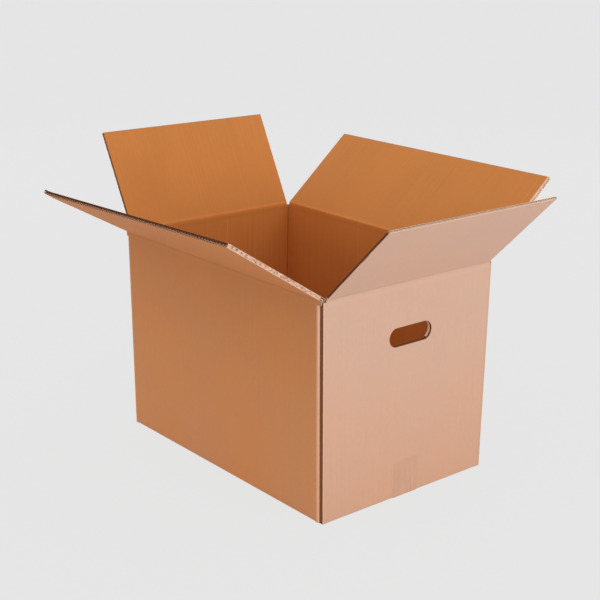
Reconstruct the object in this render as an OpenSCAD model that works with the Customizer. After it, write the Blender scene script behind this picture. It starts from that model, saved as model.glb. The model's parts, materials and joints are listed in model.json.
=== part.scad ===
// Double wall corrugated box with its top flaps open.
// One board, scored, slotted, folded and glued at one corner; the base is taped shut.
// Millimetres. The origin is the middle of the base, +Z is up and +X runs along the length.
// The front long side faces -Y, and the glued corner joins it to the right end, at +X.

/* [Box] */
// Inside length
box_l = 457; // [320:1:700]
// Inside width
box_w = 315; // [220:1:500]
// Inside height, between the folded inner flaps
box_h = 305; // [200:1:500]

/* [Board] */
// Thickness of each of the three flat liner sheets
liner = 0.3; // [0.2:0.05:0.5]
// Height of the fine flute, next to the outside
fine_h = 2.4; // [1.8:0.1:3]
// Wave length of the fine flute
fine_pitch = 6.3; // [5:0.1:8]
// Height of the coarse flute, next to the inside
coarse_h = 3.3; // [2.6:0.1:4.5]
// Wave length of the coarse flute
coarse_pitch = 7.5; // [6:0.1:10]
// Thickness of the paper in the flutes
flute_paper = 0.3; // [0.2:0.05:0.5]
// Depth of the opened flute tunnels along a cut edge
tunnel_d = 2.5; // [1.5:0.5:4]
// Thin skin left between a flap's first flute and the tunnel along its cut end
tunnel_skin = 0.4; // [0.3:0.05:0.8]

/* [Scores and slots] */
// Half thickness of the board where a score crushes it
score_r = 1; // [0.8:0.1:1.4]
// Length over which a score thins the board, on each side of the fold
score_len = 8; // [7:0.5:12]
// Solid strip of a flap beyond its score, before the flutes open
root_set = 2; // [1:0.5:6]
// Distance from an outer corner to the end of a flap
slot_set = 9.5; // [8.5:0.5:16]
// Clearance between faces that fold against each other
gap = 0.3; // [0.2:0.05:0.5]

/* [Top flaps] */
// Angle of the front flap above level, leaning out
front_lean = 34; // [0:1:90]
// Angle of the back flap above level, leaning out
back_lean = 42.5; // [0:0.5:90]
// Angle of the left end flap above level, leaning out
left_lean = 61.5; // [0:0.5:90]
// Angle of the right end flap above level, leaning out
right_lean = 45; // [0:0.5:90]

/* [Base folds] */
// Outer radius of the fold along the bottom of the long sides
base_fold_r = 4; // [2:0.5:6]
// Height of an end panel's pressed heel above the ground
heel_rise = 0.6; // [0.4:0.1:2]
// Bevel along the bottom of the heel
heel_bevel = 1; // [0.5:0.1:1.5]

/* [Glued joint] */
// Length of the glue tab
tab_len = 38; // [25:1:60]
// Thickness of the crushed glue tab
tab_t = 4; // [2.5:0.5:5]
// Slant of the tab's cut ends, from level
tab_slant = 30; // [10:5:50]
// Distance from the front face to the right end panel's cut edge
edge_set = 2; // [1:0.5:3]

/* [Hand holes] */
// Width of a hand hole
hole_w = 82; // [60:1:110]
// Height of a hand hole
hole_h = 28; // [20:1:40]
// Distance from the end flap's score down to the middle of the hole
hole_drop = 79; // [50:1:110]

/* [Tape] */
// Width of the tape
tape_w = 45; // [36:1:75]
// Thickness of the tape
tape_t = 0.1; // [0.05:0.05:0.3]
// Height that the tape reaches up each end panel
tape_rise = 55; // [30:1:90]

/* [Hidden] */
$fn = 64;

// Board and outside sizes
board = 3 * liner + fine_h + coarse_h;
out_l = box_l + 2 * board;
out_w = box_w + 2 * board;

// Heights: outer base flaps lie on the ground and inner ones on top of them
inner_base_z = board + gap;
floor_z = inner_base_z + board;
// The end flaps pivot near the outer liner, the long flaps near the inner one, so long ones close on top
end_pivot_z = floor_z + box_h + board - score_r;
long_pivot_z = end_pivot_z + 2 * score_r + gap;
// Top of a wall under its score, below the pivot, and where its thinning starts
neck_drop = score_r + 2 * gap;
thin_drop = neck_drop + score_len;
plain_top_z = end_pivot_z - thin_drop;
post_top_z = end_pivot_z - neck_drop;

// Flaps: the long pair meets over the middle, and all four share the board's straight cut edge
long_flap_l = out_l - 2 * slot_set;
end_flap_l = out_w - 2 * slot_set;
long_flap_d = out_w / 2 - (board - score_r) - gap;
end_flap_d = long_flap_d + long_pivot_z - end_pivot_z;
// Distance from a flap's pivot to where its flutes open
root_len = score_len + root_set;

board_color = "#c68f66";
inner_color = "#bd7f4e";
tape_color = "#c99f78";

// Outline of one row of flute cells: triangles on both sides of the folded paper
module flute_cells(length, height, pitch) {
  slope = atan(2 * height / pitch);
  half_paper = flute_paper / 2 / sin(slope);
  crest = half_paper * tan(slope);
  waves = floor((length - 2 * tunnel_d) / pitch);
  margin = (length - waves * pitch) / 2;
  for (i = [0:waves - 1])
    translate([margin + i * pitch, 0])
      polygon([[half_paper, 0], [pitch - half_paper, 0], [pitch / 2, height - crest]]);
  for (i = [1:waves - 1])
    translate([margin + i * pitch, 0])
      polygon([[half_paper - pitch / 2, height], [pitch / 2 - half_paper, height], [0, crest]]);
  // Tunnels that the side cuts lay open
  for (start = [0, length - margin + tunnel_skin])
    translate([start, 0]) square([margin - tunnel_skin, height]);
}

// Cut edge of the board: liners and flutes, with the inner face at 0 and the outer face at board
module board_edge(length) {
  difference() {
    square([length, board]);
    translate([0, liner]) flute_cells(length, coarse_h, coarse_pitch);
    translate([0, 2 * liner + coarse_h]) flute_cells(length, fine_h, fine_pitch);
  }
}

// Flap standing upright on its pivot, which is the X axis; its outer face looks towards -Y
module flap(length, depth, inner_y) {
  outer_y = inner_y - board;
  rotate([0, 90, 0]) cylinder(r = score_r, h = length, center = true);
  translate([-length / 2, 0, 0])
    rotate([90, 0, 90])
      linear_extrude(height = length)
        polygon([
          [score_r, 0],
          [inner_y, score_len],
          [inner_y, root_len],
          [outer_y, root_len],
          [outer_y, score_len],
          [-score_r, 0]
        ]);
  translate([length / 2, inner_y, root_len])
    rotate([0, 0, 180])
      linear_extrude(height = depth - root_len) board_edge(length);
}

module long_flap() { flap(long_flap_l, long_flap_d, score_r); }
module end_flap() { flap(end_flap_l, end_flap_d, board - score_r); }

// Moves a flap's pivot to its wall, then leans it out
module on_front_wall(lean) {
  translate([0, board - score_r - out_w / 2, long_pivot_z]) rotate([90 - lean, 0, 0]) children();
}
module on_right_wall(lean) {
  translate([out_l / 2 - score_r, 0, end_pivot_z]) rotate([0, 0, 90]) rotate([90 - lean, 0, 0]) children();
}

// Plan of the four walls; the right end panel stops at its cut edge, short of the front face
module wall_plan() {
  fold_x = out_l / 2 - board - tab_t;
  difference() {
    union() {
      // Front, back, left and right panels
      translate([-box_l / 2, -out_w / 2]) square([box_l / 2 + fold_x, board]);
      translate([-box_l / 2, box_w / 2]) square([box_l, board]);
      translate([-out_l / 2, -box_w / 2]) square([board, box_w]);
      translate([box_l / 2, edge_set - out_w / 2]) square([board, out_w / 2 - edge_set + box_w / 2]);
      // Rounded folds at the three whole corners
      for (corner = [[-1, -1], [-1, 1], [1, 1]])
        translate([corner[0] * box_l / 2, corner[1] * box_w / 2]) circle(r = board);
    }
    square([box_l, box_w], center = true);
    // Tunnels along the right end panel's cut edge
    for (tunnel = [[liner, coarse_h], [2 * liner + coarse_h, fine_h]])
      translate([box_l / 2 + tunnel[0], edge_set - out_w / 2 - tunnel_d])
        square([tunnel[1], 2 * tunnel_d]);
  }
  // Fold of the front panel into the glue tab, behind the right end panel
  translate([fold_x, tab_t - out_w / 2]) {
    intersection() {
      circle(r = tab_t);
      translate([0, -tab_t]) square(tab_t);
    }
    square([tab_t, board - tab_t]);
  }
}

// Top of a wall, thinned towards the score; pivot at the origin, inside towards +Y
module wall_top(length, inner_y, low) {
  outer_y = inner_y - board;
  // The flat neck is next to the liner that the flap turns on
  neck_side = sign(inner_y + outer_y);
  translate([-length / 2, 0, 0])
    rotate([90, 0, 90])
      linear_extrude(height = length)
        polygon([
          [inner_y, -low],
          [inner_y, neck_side < 0 ? -neck_drop : -thin_drop],
          [neck_side < 0 ? score_r : -score_r / 2, -neck_drop],
          [neck_side < 0 ? score_r / 2 : -score_r, -neck_drop],
          [outer_y, neck_side < 0 ? -thin_drop : -neck_drop],
          [outer_y, -low]
        ]);
}

module long_wall_top() { wall_top(long_flap_l, score_r, long_pivot_z - plain_top_z); }
module end_wall_top() { wall_top(end_flap_l, board - score_r, thin_drop); }

// Squares over the four corners, as wide as the slots
module corner_squares() {
  for (sx = [-1, 1], sy = [-1, 1])
    translate([sx * (out_l - slot_set) / 2, sy * (out_w - slot_set) / 2]) square(slot_set, center = true);
}

// Glue tab on the inside of the right end panel, with slanted ends
module glue_tab() {
  slant = tab_len * tan(tab_slant);
  tab_base = floor_z + gap;
  translate([box_l / 2 - tab_t, board - out_w / 2, 0])
    rotate([90, 0, 90])
      linear_extrude(height = tab_t)
        polygon([[0, tab_base], [tab_len, tab_base + slant], [tab_len, plain_top_z - slant], [0, plain_top_z]]);
}

// Bottom of the front panel with its outer base flap, folded under as far as the middle seam
module front_base_flap() {
  translate([-long_flap_l / 2, 0, 0])
    rotate([90, 0, 90])
      linear_extrude(height = long_flap_l)
        difference() {
          union() {
            translate([base_fold_r - out_w / 2, base_fold_r]) circle(r = base_fold_r);
            translate([base_fold_r - out_w / 2, 0]) square([out_w / 2 - base_fold_r - gap, board]);
            translate([-out_w / 2, base_fold_r]) square([board, inner_base_z - base_fold_r]);
          }
          // Bed of the tape along the seam
          translate([-tape_w / 2, 0]) square([tape_w, tape_t]);
        }
}

// Inner base flap of the right end, with the pressed heel that carries the end panel down
module right_base_flap() {
  translate([out_l / 2 - end_flap_d, end_flap_l / 2, 0])
    rotate([90, 0, 0])
      linear_extrude(height = end_flap_l)
        translate([0, inner_base_z]) square([end_flap_d - board, board]);
}

// Heel of an end panel at +X, between two places along the end
module heel(from_y, to_y) {
  translate([out_l / 2, to_y, 0])
    rotate([90, 0, 0])
      linear_extrude(height = to_y - from_y)
        polygon([
          [0, inner_base_z],
          [0, heel_rise + heel_bevel],
          [-heel_bevel, heel_rise],
          [gap - slot_set, inner_base_z]
        ]);
}

// Hand hole through one end panel at +X
module hand_hole() {
  flat_w = hole_w - hole_h;
  translate([box_l / 2 - board, 0, end_pivot_z - hole_drop])
    rotate([90, 0, 90])
      linear_extrude(height = 3 * board) {
        square([flat_w, hole_h], center = true);
        for (side = [-1, 1]) translate([side * flat_w / 2, 0]) circle(d = hole_h);
      }
}

module box_body() {
  color(board_color)
    difference() {
      union() {
        translate([0, 0, inner_base_z]) linear_extrude(height = plain_top_z - inner_base_z) wall_plan();
        // Corner posts between the slots, above and below the plain walls
        for (span = [[heel_rise + gap, inner_base_z], [plain_top_z, post_top_z]])
          translate([0, 0, span[0]])
            linear_extrude(height = span[1] - span[0])
              intersection() {
                wall_plan();
                corner_squares();
              }
        for (turn = [0, 180]) rotate([0, 0, turn]) {
          on_front_wall(90) long_wall_top();
          on_right_wall(90) end_wall_top();
          front_base_flap();
          right_base_flap();
        }
        heel(edge_set - out_w / 2, box_w / 2);
        rotate([0, 0, 180]) heel(-box_w / 2, box_w / 2);
        glue_tab();
      }
      for (turn = [0, 180]) rotate([0, 0, turn]) hand_hole();
    }
}

module front_flap() {
  color(board_color) on_front_wall(front_lean) long_flap();
}

module back_flap() {
  color(inner_color) rotate([0, 0, 180]) on_front_wall(back_lean) long_flap();
}

module right_flap() {
  color(board_color) on_right_wall(right_lean) end_flap();
}

module left_flap() {
  color(inner_color) rotate([0, 0, 180]) on_right_wall(left_lean) end_flap();
}

// Tape along the seam of the base, turned up on both end panels
module bottom_tape() {
  color(tape_color) {
    translate([-out_l / 2, -tape_w / 2, 0]) cube([out_l, tape_w, tape_t]);
    for (turn = [0, 180])
      rotate([0, 0, turn]) translate([out_l / 2, -tape_w / 2, 0]) cube([tape_t, tape_w, tape_rise]);
  }
}

box_body();
front_flap();
back_flap();
left_flap();
right_flap();
bottom_tape();
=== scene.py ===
"""Looks of an open double wall corrugated box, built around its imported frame.

The board is made as it is in a real box: three flat liners with two fluted papers between them. Walls,
top flaps and base flaps are such boards, and folded strips join them along the scores. Metres, with +Z
up. The front long side faces -Y, and the glued corner joins it to the right end, at +X.
"""

import json
import logging
import math
from collections.abc import Callable
from dataclasses import dataclass, field
from enum import Enum, IntEnum

import bpy
import numpy as np
from mathutils import Matrix, Vector, noise

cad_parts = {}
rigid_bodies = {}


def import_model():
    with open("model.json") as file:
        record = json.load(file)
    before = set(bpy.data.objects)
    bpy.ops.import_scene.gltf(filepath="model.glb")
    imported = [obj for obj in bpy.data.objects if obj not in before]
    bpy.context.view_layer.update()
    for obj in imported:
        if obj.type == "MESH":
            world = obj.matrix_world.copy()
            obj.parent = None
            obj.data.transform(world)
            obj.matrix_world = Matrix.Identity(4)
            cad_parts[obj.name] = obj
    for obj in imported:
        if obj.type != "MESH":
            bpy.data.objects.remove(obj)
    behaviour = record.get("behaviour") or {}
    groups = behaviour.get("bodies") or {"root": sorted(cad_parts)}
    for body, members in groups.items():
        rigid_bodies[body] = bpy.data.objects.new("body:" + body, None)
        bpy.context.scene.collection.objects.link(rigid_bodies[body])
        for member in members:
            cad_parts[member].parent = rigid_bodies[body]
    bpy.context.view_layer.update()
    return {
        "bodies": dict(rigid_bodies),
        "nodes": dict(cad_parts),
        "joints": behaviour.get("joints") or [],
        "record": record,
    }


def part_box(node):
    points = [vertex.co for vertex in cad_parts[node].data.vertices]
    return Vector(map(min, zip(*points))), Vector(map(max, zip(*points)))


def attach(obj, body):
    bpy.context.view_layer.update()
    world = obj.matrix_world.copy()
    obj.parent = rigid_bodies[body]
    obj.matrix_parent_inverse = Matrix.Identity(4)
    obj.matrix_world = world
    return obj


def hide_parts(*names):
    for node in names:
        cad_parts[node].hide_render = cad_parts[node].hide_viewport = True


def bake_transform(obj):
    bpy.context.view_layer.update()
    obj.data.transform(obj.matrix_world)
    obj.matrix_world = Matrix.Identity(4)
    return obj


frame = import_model()

log = logging.getLogger("box")
MM = 0.001


class Side(Enum):
    """One of the four upright sides, with the name of its flap's body."""

    BACK = "back"
    RIGHT = "right"
    FRONT = "front"
    LEFT = "left"

    @property
    def turn(self) -> Matrix:
        """Rotation that takes the back side's directions to this side's."""
        quarters = {Side.BACK: 0, Side.RIGHT: -1, Side.FRONT: 2, Side.LEFT: 1}
        return Matrix.Rotation(quarters[self] * math.pi / 2, 4, "Z")

    @property
    def is_long(self) -> bool:
        """Whether this is one of the two long sides."""
        return self in (Side.FRONT, Side.BACK)

    @property
    def warmth(self) -> float:
        """How far the side's paper goes from the pale tone to the warm one, which is painted warm shade."""
        return 1.0 if self.is_long else 0.0


class Paper(IntEnum):
    """Slot of each paper finish in a board's mesh."""

    OUTER = 0
    INNER = 1
    FLUTE = 2
    CUT = 3


class NoiseSeed(float, Enum):
    """Where each ragged thing starts in the noise, so that no two look alike."""

    CORNER = 3.0
    TEAR_SIDE = 3.1
    TAPE_END = 4.0
    GLUED_FOLD = 7.7
    TAPE_END_FINE = 8.0
    TEAR_FINE = 9.7
    SCORE = 11.0
    TAPE_SIDE = 17.0
    CURL = 21.3
    TAPE_WRINKLE = 31.0
    CRUSH = 51.0
    CRUSH_PATCH = 61.0
    HOLE_LINING = 71.0


@dataclass(frozen=True)
class PaperLayer:
    """One sheet of paper in the board.

    The level is the height of its middle above the board's inner face. A flat sheet has a small wave
    height too, because the flutes show through it.
    """

    level: float
    wave_length: float
    wave_height: float
    paper: float
    outward: Paper
    inward: Paper

    @property
    def is_fluted(self) -> bool:
        """Whether this sheet is one of the two fluted papers."""
        return self.outward == Paper.FLUTE and self.wave_height > self.paper


@dataclass(frozen=True)
class DoubleWallBoard:
    """Make-up of the board, from the inner liner to the outer one."""

    liner: float = 0.3 * MM
    flute_paper: float = 0.3 * MM
    fine_height: float = 2.4 * MM
    fine_length: float = 6.3 * MM
    coarse_height: float = 3.3 * MM
    coarse_length: float = 7.5 * MM
    outer_ripple: float = 0.03 * MM
    inner_ripple: float = 0.05 * MM

    @property
    def thickness(self) -> float:
        """Thickness of the whole board."""
        return 3 * self.liner + self.fine_height + self.coarse_height

    @property
    def layers(self) -> list[PaperLayer]:
        """Lists the five sheets.

        Returns:
            The sheets, from the inside out.
        """
        middle = self.liner + self.coarse_height
        return [
            PaperLayer(self.liner / 2, self.coarse_length, self.inner_ripple, self.liner,
                       Paper.FLUTE, Paper.INNER),
            PaperLayer(self.liner + self.coarse_height / 2, self.coarse_length,
                       self.coarse_height - self.flute_paper, self.flute_paper, Paper.FLUTE, Paper.FLUTE),
            PaperLayer(middle + self.liner / 2, self.coarse_length, 0.0, self.liner,
                       Paper.FLUTE, Paper.FLUTE),
            PaperLayer(middle + self.liner + self.fine_height / 2, self.fine_length,
                       self.fine_height - self.flute_paper, self.flute_paper, Paper.FLUTE, Paper.FLUTE),
            PaperLayer(self.thickness - self.liner / 2, self.fine_length, self.outer_ripple, self.liner,
                       Paper.OUTER, Paper.FLUTE),
        ]


BOARD = DoubleWallBoard()

# Points to each wave of a fluted or pierced sheet, and of a plain one
WAVE_STEPS = 10
PLAIN_STEPS = 6


@dataclass(frozen=True)
class Hinge:
    """Score of one top flap, read from the frame.

    The reaches are the distances from the pivot out to the outer face and in to the inner face.
    """

    side: Side
    pivot: Vector
    lean: float
    outer_reach: float
    inner_reach: float
    run: float
    depth: float

    @property
    def tilt(self) -> float:
        """Angle of the flap from upright, leaning out."""
        return math.pi / 2 - self.lean

    @property
    def upright(self) -> Matrix:
        """Places a flap that stands upright on its pivot: along it, outwards and up."""
        return Matrix.Translation(self.pivot) @ self.side.turn


@dataclass(frozen=True)
class BoxFrame:
    """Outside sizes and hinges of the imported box."""

    half_length: float
    half_width: float
    hinges: dict[Side, Hinge]

    @classmethod
    def read(cls, packed: dict, gap: float) -> "BoxFrame":
        """Reads the sizes from the frame.

        Args:
            gap: Clearance at the middle seam, where the long flaps meet.

        Returns:
            The sizes of the box.
        """
        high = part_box("box_body")[1]
        joints = {Side(joint["child"]): joint for joint in packed["joints"]}
        pivots = {side: Vector(joint["pos_m"]) for side, joint in joints.items()}
        long_depth = pivots[Side.BACK].y - gap
        hinges = {}
        for side, joint in joints.items():
            pivot = pivots[side]
            low_corner, high_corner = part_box(f"{side.value}_flap")
            size = high_corner - low_corner
            outer_reach = high.y - abs(pivot.y) if side.is_long else high.x - abs(pivot.x)
            hinges[side] = Hinge(
                side=side,
                pivot=pivot,
                lean=math.radians(180 - joint["range_deg"][1]),
                outer_reach=outer_reach,
                inner_reach=BOARD.thickness - outer_reach,
                run=size.x if side.is_long else size.y,
                depth=long_depth + pivots[Side.BACK].z - pivot.z,
            )
        return cls(high.x, high.y, hinges)

    def half(self, side: Side) -> float:
        """Distance from the middle of the box to a side's outer face."""
        return self.half_width if side.is_long else self.half_length

    def wall(self, side: Side) -> Matrix:
        """Places a wall: along it, outwards from its inner face, and up from the ground."""
        return side.turn @ Matrix.Translation((0, self.half(side) - BOARD.thickness, 0))


class NodeSketch:
    """Adds nodes to a tree and links them."""

    def __init__(self, tree: bpy.types.NodeTree) -> None:
        """Keeps the tree to add to."""
        self.tree = tree

    def add(self, kind: str, inputs: dict | None = None, **settings: object) -> bpy.types.Node:
        """Adds one node.

        Args:
            kind: The node's type.
            inputs: Values or sockets for its inputs, by name or index.
            settings: Properties of the node.

        Returns:
            The new node.
        """
        node = self.tree.nodes.new(kind)
        for name, value in settings.items():
            setattr(node, name, value)
        for key, value in (inputs or {}).items():
            if isinstance(value, bpy.types.NodeSocket):
                self.tree.links.new(value, node.inputs[key])
            else:
                node.inputs[key].default_value = value
        return node

    def math(self, operation: str, *values: object) -> bpy.types.NodeSocket:
        """Adds a Math node and returns its output."""
        return self.add("ShaderNodeMath", dict(enumerate(values)), operation=operation).outputs[0]

    def vector(self, x: object, y: object, z: object) -> bpy.types.NodeSocket:
        """Adds a Combine XYZ node and returns its output."""
        return self.add("ShaderNodeCombineXYZ", {"X": x, "Y": y, "Z": z}).outputs[0]


def declare(tree: bpy.types.NodeTree, inputs: dict[str, str], outputs: dict[str, str]) -> None:
    """Gives a node group its named sockets.

    Args:
        tree: The group.
        inputs: Kind of each input by name, such as Float or Vector.
        outputs: Kind of each output by name.
    """
    for direction, sockets in (("INPUT", inputs), ("OUTPUT", outputs)):
        for name, kind in sockets.items():
            tree.interface.new_socket(name=name, in_out=direction, socket_type=f"NodeSocket{kind}")


def identifiers(tree: bpy.types.NodeTree) -> dict[str, str]:
    """Returns the identifier of each input of a group by its name."""
    return {item.name: item.identifier for item in tree.interface.items_tree if item.in_out == "INPUT"}


def end_tree(sketch: NodeSketch, geometry: bpy.types.NodeSocket, finish: bpy.types.NodeSocket) -> None:
    """Ends a geometry node tree in real faces with their material.

    Args:
        sketch: The tree.
        geometry: What the tree has made.
        finish: The material.
    """
    real = sketch.add("GeometryNodeRealizeInstances", {"Geometry": geometry})
    dressed = sketch.add("GeometryNodeSetMaterial", {"Geometry": real.outputs[0], "Material": finish})
    sketch.add("NodeGroupOutput", {0: dressed.outputs[0]})


def paper_tree() -> bpy.types.NodeTree:
    """Builds the geometry nodes of one sheet of paper.

    The sheet runs along X between the sides of a panel and along Z with its flutes. Its waves go in and
    out along Y. A hand hole with round ends can be cut in it.

    Returns:
        The node tree.
    """
    tree = bpy.data.node_groups.new("paper_layer", "GeometryNodeTree")
    sizes = ["Run", "Middle", "Low", "High", "Level", "Wave Length", "Wave Height", "Paper", "Spacing",
             "Hole Width", "Hole Height", "Hole Level"]
    declare(tree, {name: "Float" for name in sizes} | {"Finish": "Material"}, {"Sheet": "Geometry"})
    sketch = NodeSketch(tree)
    given = tree.nodes.new("NodeGroupInput").outputs
    maths = sketch.math

    # Four rows of points, at -1.5, -0.5, 0.5 and 1.5: both edges, with both rims of the hole between them
    rows = 4
    columns = maths("ADD", maths("ROUND", maths("DIVIDE", given["Run"], given["Spacing"])), 1)
    grid = sketch.add("GeometryNodeMeshGrid", {
        "Size X": given["Run"], "Size Y": rows - 1, "Vertices X": columns, "Vertices Y": rows})
    place = sketch.add("ShaderNodeSeparateXYZ", {0: sketch.add("GeometryNodeInputPosition").outputs[0]})
    across = maths("ADD", place.outputs["X"], given["Middle"])
    from_middle = place.outputs["Y"]

    # Half the height of the hole at each column
    radius = maths("DIVIDE", given["Hole Height"], 2)
    flat = maths("SUBTRACT", maths("DIVIDE", given["Hole Width"], 2), radius)
    past_flat = maths("MAXIMUM", maths("SUBTRACT", maths("ABSOLUTE", across), flat), 0)
    square = maths("SUBTRACT", maths("MULTIPLY", radius, radius), maths("MULTIPLY", past_flat, past_flat))
    half_hole = maths("SQRT", maths("MAXIMUM", square, 0))

    is_low = maths("LESS_THAN", from_middle, -1)
    is_high = maths("GREATER_THAN", from_middle, 1)
    is_rim = maths("SUBTRACT", 1, maths("ADD", is_low, is_high))
    rim = maths("ADD", given["Hole Level"], maths("MULTIPLY", maths("MULTIPLY", from_middle, 2), half_hole))
    edges = maths("ADD", maths("MULTIPLY", is_low, given["Low"]), maths("MULTIPLY", is_high, given["High"]))
    along = maths("ADD", edges, maths("MULTIPLY", is_rim, rim))

    phase = maths("DIVIDE", maths("MULTIPLY", across, math.tau), given["Wave Length"])
    swing = maths("MULTIPLY", maths("SINE", phase), maths("DIVIDE", given["Wave Height"], 2))
    depth = maths("ADD", given["Level"], swing)

    # The band of faces between the rims, at row 0, goes, and rims that meet are welded
    band_reach = 0.25
    marked = sketch.add("GeometryNodeStoreNamedAttribute", {
        "Geometry": grid.outputs["Mesh"], "Name": "row", "Value": from_middle}, domain="POINT")
    shaped = sketch.add("GeometryNodeSetPosition", {
        "Geometry": marked.outputs[0], "Position": sketch.vector(across, depth, along)})
    row = sketch.add("GeometryNodeInputNamedAttribute", {"Name": "row"}).outputs[0]
    in_hole = maths("LESS_THAN", maths("ABSOLUTE", row), band_reach)
    opened = sketch.add("GeometryNodeDeleteGeometry", {
        "Geometry": shaped.outputs[0], "Selection": in_hole}, domain="FACE")
    weld = 0.01 * MM
    welded = sketch.add("GeometryNodeMergeByDistance", {"Geometry": opened.outputs[0], "Distance": weld})

    # Thickness, half to each side
    normal = sketch.add("GeometryNodeInputNormal").outputs[0]
    back = sketch.add("ShaderNodeVectorMath", {0: normal, "Scale": maths("DIVIDE", given["Paper"], -2)},
                      operation="SCALE")
    first = sketch.add("GeometryNodeSetPosition", {"Geometry": welded.outputs[0], "Offset": back.outputs[0]})
    second = sketch.add("GeometryNodeExtrudeMesh", {
        "Mesh": first.outputs[0], "Offset Scale": given["Paper"], "Individual": False}, mode="FACES")
    turned = sketch.add("GeometryNodeFlipFaces", {"Mesh": first.outputs[0]})
    both = sketch.add("GeometryNodeJoinGeometry")
    tree.links.new(turned.outputs[0], both.inputs[0])
    tree.links.new(second.outputs["Mesh"], both.inputs[0])
    closed = sketch.add("GeometryNodeMergeByDistance", {"Geometry": both.outputs[0], "Distance": weld})
    end_tree(sketch, closed.outputs[0], given["Finish"])
    return tree


def fibre_tree() -> bpy.types.NodeTree:
    """Builds the geometry nodes of loose fibres, thin slivers scattered along a line.

    Returns:
        The node tree.
    """
    tip_radius, root_radius = 0.03 * MM, 0.16 * MM
    side_scatter, along_scatter = 0.3 * MM, 4 * MM
    most_turn = (1.9, 1.9, 3.1)
    least_size = 0.35
    tree = bpy.data.node_groups.new("torn_fibres", "GeometryNodeTree")
    declare(tree, {"Start": "Vector", "End": "Vector", "Count": "Int", "Length": "Float", "Spread": "Float",
                   "Seed": "Int", "Finish": "Material"}, {"Fibres": "Geometry"})
    sketch = NodeSketch(tree)
    given = tree.nodes.new("NodeGroupInput").outputs

    def scatter(low: object, high: object, number: int, kind: str = "FLOAT_VECTOR") -> bpy.types.NodeSocket:
        """Adds a random value between two limits.

        Args:
            low: The lower limit.
            high: The upper limit.
            number: What is added to the tree's seed.
            kind: Type of the value.

        Returns:
            The value, which differs from fibre to fibre.
        """
        low_key, high_key = ("Min", "Max") if kind == "FLOAT_VECTOR" else (2, 3)
        seed = sketch.math("ADD", given["Seed"], number)
        node = sketch.add("FunctionNodeRandomValue", {low_key: low, high_key: high, "Seed": seed},
                          data_type=kind)
        return next(out for out in node.outputs if out.enabled)

    line = sketch.add("GeometryNodeMeshLine", {
        "Count": given["Count"], "Start Location": given["Start"], "Offset": given["End"]},
        mode="END_POINTS")
    back = sketch.math("MULTIPLY", given["Spread"], -1)
    nudge = scatter(sketch.vector(-side_scatter, back, -along_scatter),
                    sketch.vector(side_scatter, given["Spread"], along_scatter), 1)
    spread = sketch.add("GeometryNodeSetPosition", {"Geometry": line.outputs[0], "Offset": nudge})
    sliver = sketch.add("GeometryNodeMeshCone", {
        "Vertices": 4, "Radius Top": tip_radius, "Radius Bottom": root_radius, "Depth": given["Length"]})
    turn = scatter([-limit for limit in most_turn], most_turn, 2)
    size = scatter(least_size, 1.0, 3, "FLOAT")
    placed_on = sketch.add("GeometryNodeInstanceOnPoints", {
        "Points": spread.outputs[0], "Instance": sliver.outputs[0], "Rotation": turn, "Scale": size})
    end_tree(sketch, placed_on.outputs[0], given["Finish"])
    return tree


@dataclass(frozen=True)
class PaperTrees:
    """Geometry node trees that the boards are made with."""

    paper: bpy.types.NodeTree
    fibres: bpy.types.NodeTree


def evaluate_tree(tree: bpy.types.NodeTree, values: dict[str, object]) -> bpy.types.Mesh:
    """Runs a geometry node tree on an empty mesh.

    Args:
        tree: The tree.
        values: Value of each input by name.

    Returns:
        The result as a plain mesh.
    """
    holder = bpy.data.objects.new("holder", bpy.data.meshes.new("holder"))
    bpy.context.scene.collection.objects.link(holder)
    modifier = holder.modifiers.new("tree", "NODES")
    modifier.node_group = tree
    for name, identifier in identifiers(tree).items():
        modifier[identifier] = values[name]
    mesh = bpy.data.meshes.new_from_object(holder.evaluated_get(bpy.context.evaluated_depsgraph_get()))
    holder.modifiers.remove(modifier)
    bpy.data.objects.remove(holder)
    return mesh


def wander(seed: float, first: float, second: float = 0.0) -> float:
    """Smooth noise from about -1 to 1 at a place, the same on each run."""
    return noise.noise(Vector((first, second, seed)))


def wander_grid(seed: float, first: np.ndarray, second: np.ndarray) -> np.ndarray:
    """Smooth noise from about -1 to 1 at each place of a grid."""
    return np.vectorize(lambda x, y: wander(seed, x, y))(first, second)


# Values kept on the points of a mesh: painted shade and highlights, mostly along scores and corners, which
# on the tape is how slack it is; how far the paper goes to its warm tone, painted warm shade on the long
# sides;
# how far through the board a point lies; and how worn the paper is
MARKS = ("crease", "warmth", "ply", "worn")
MIXED_WARMTH = 0.5
USUAL_WEAR = 0.2
FULL_WEAR = 1.0


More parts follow.
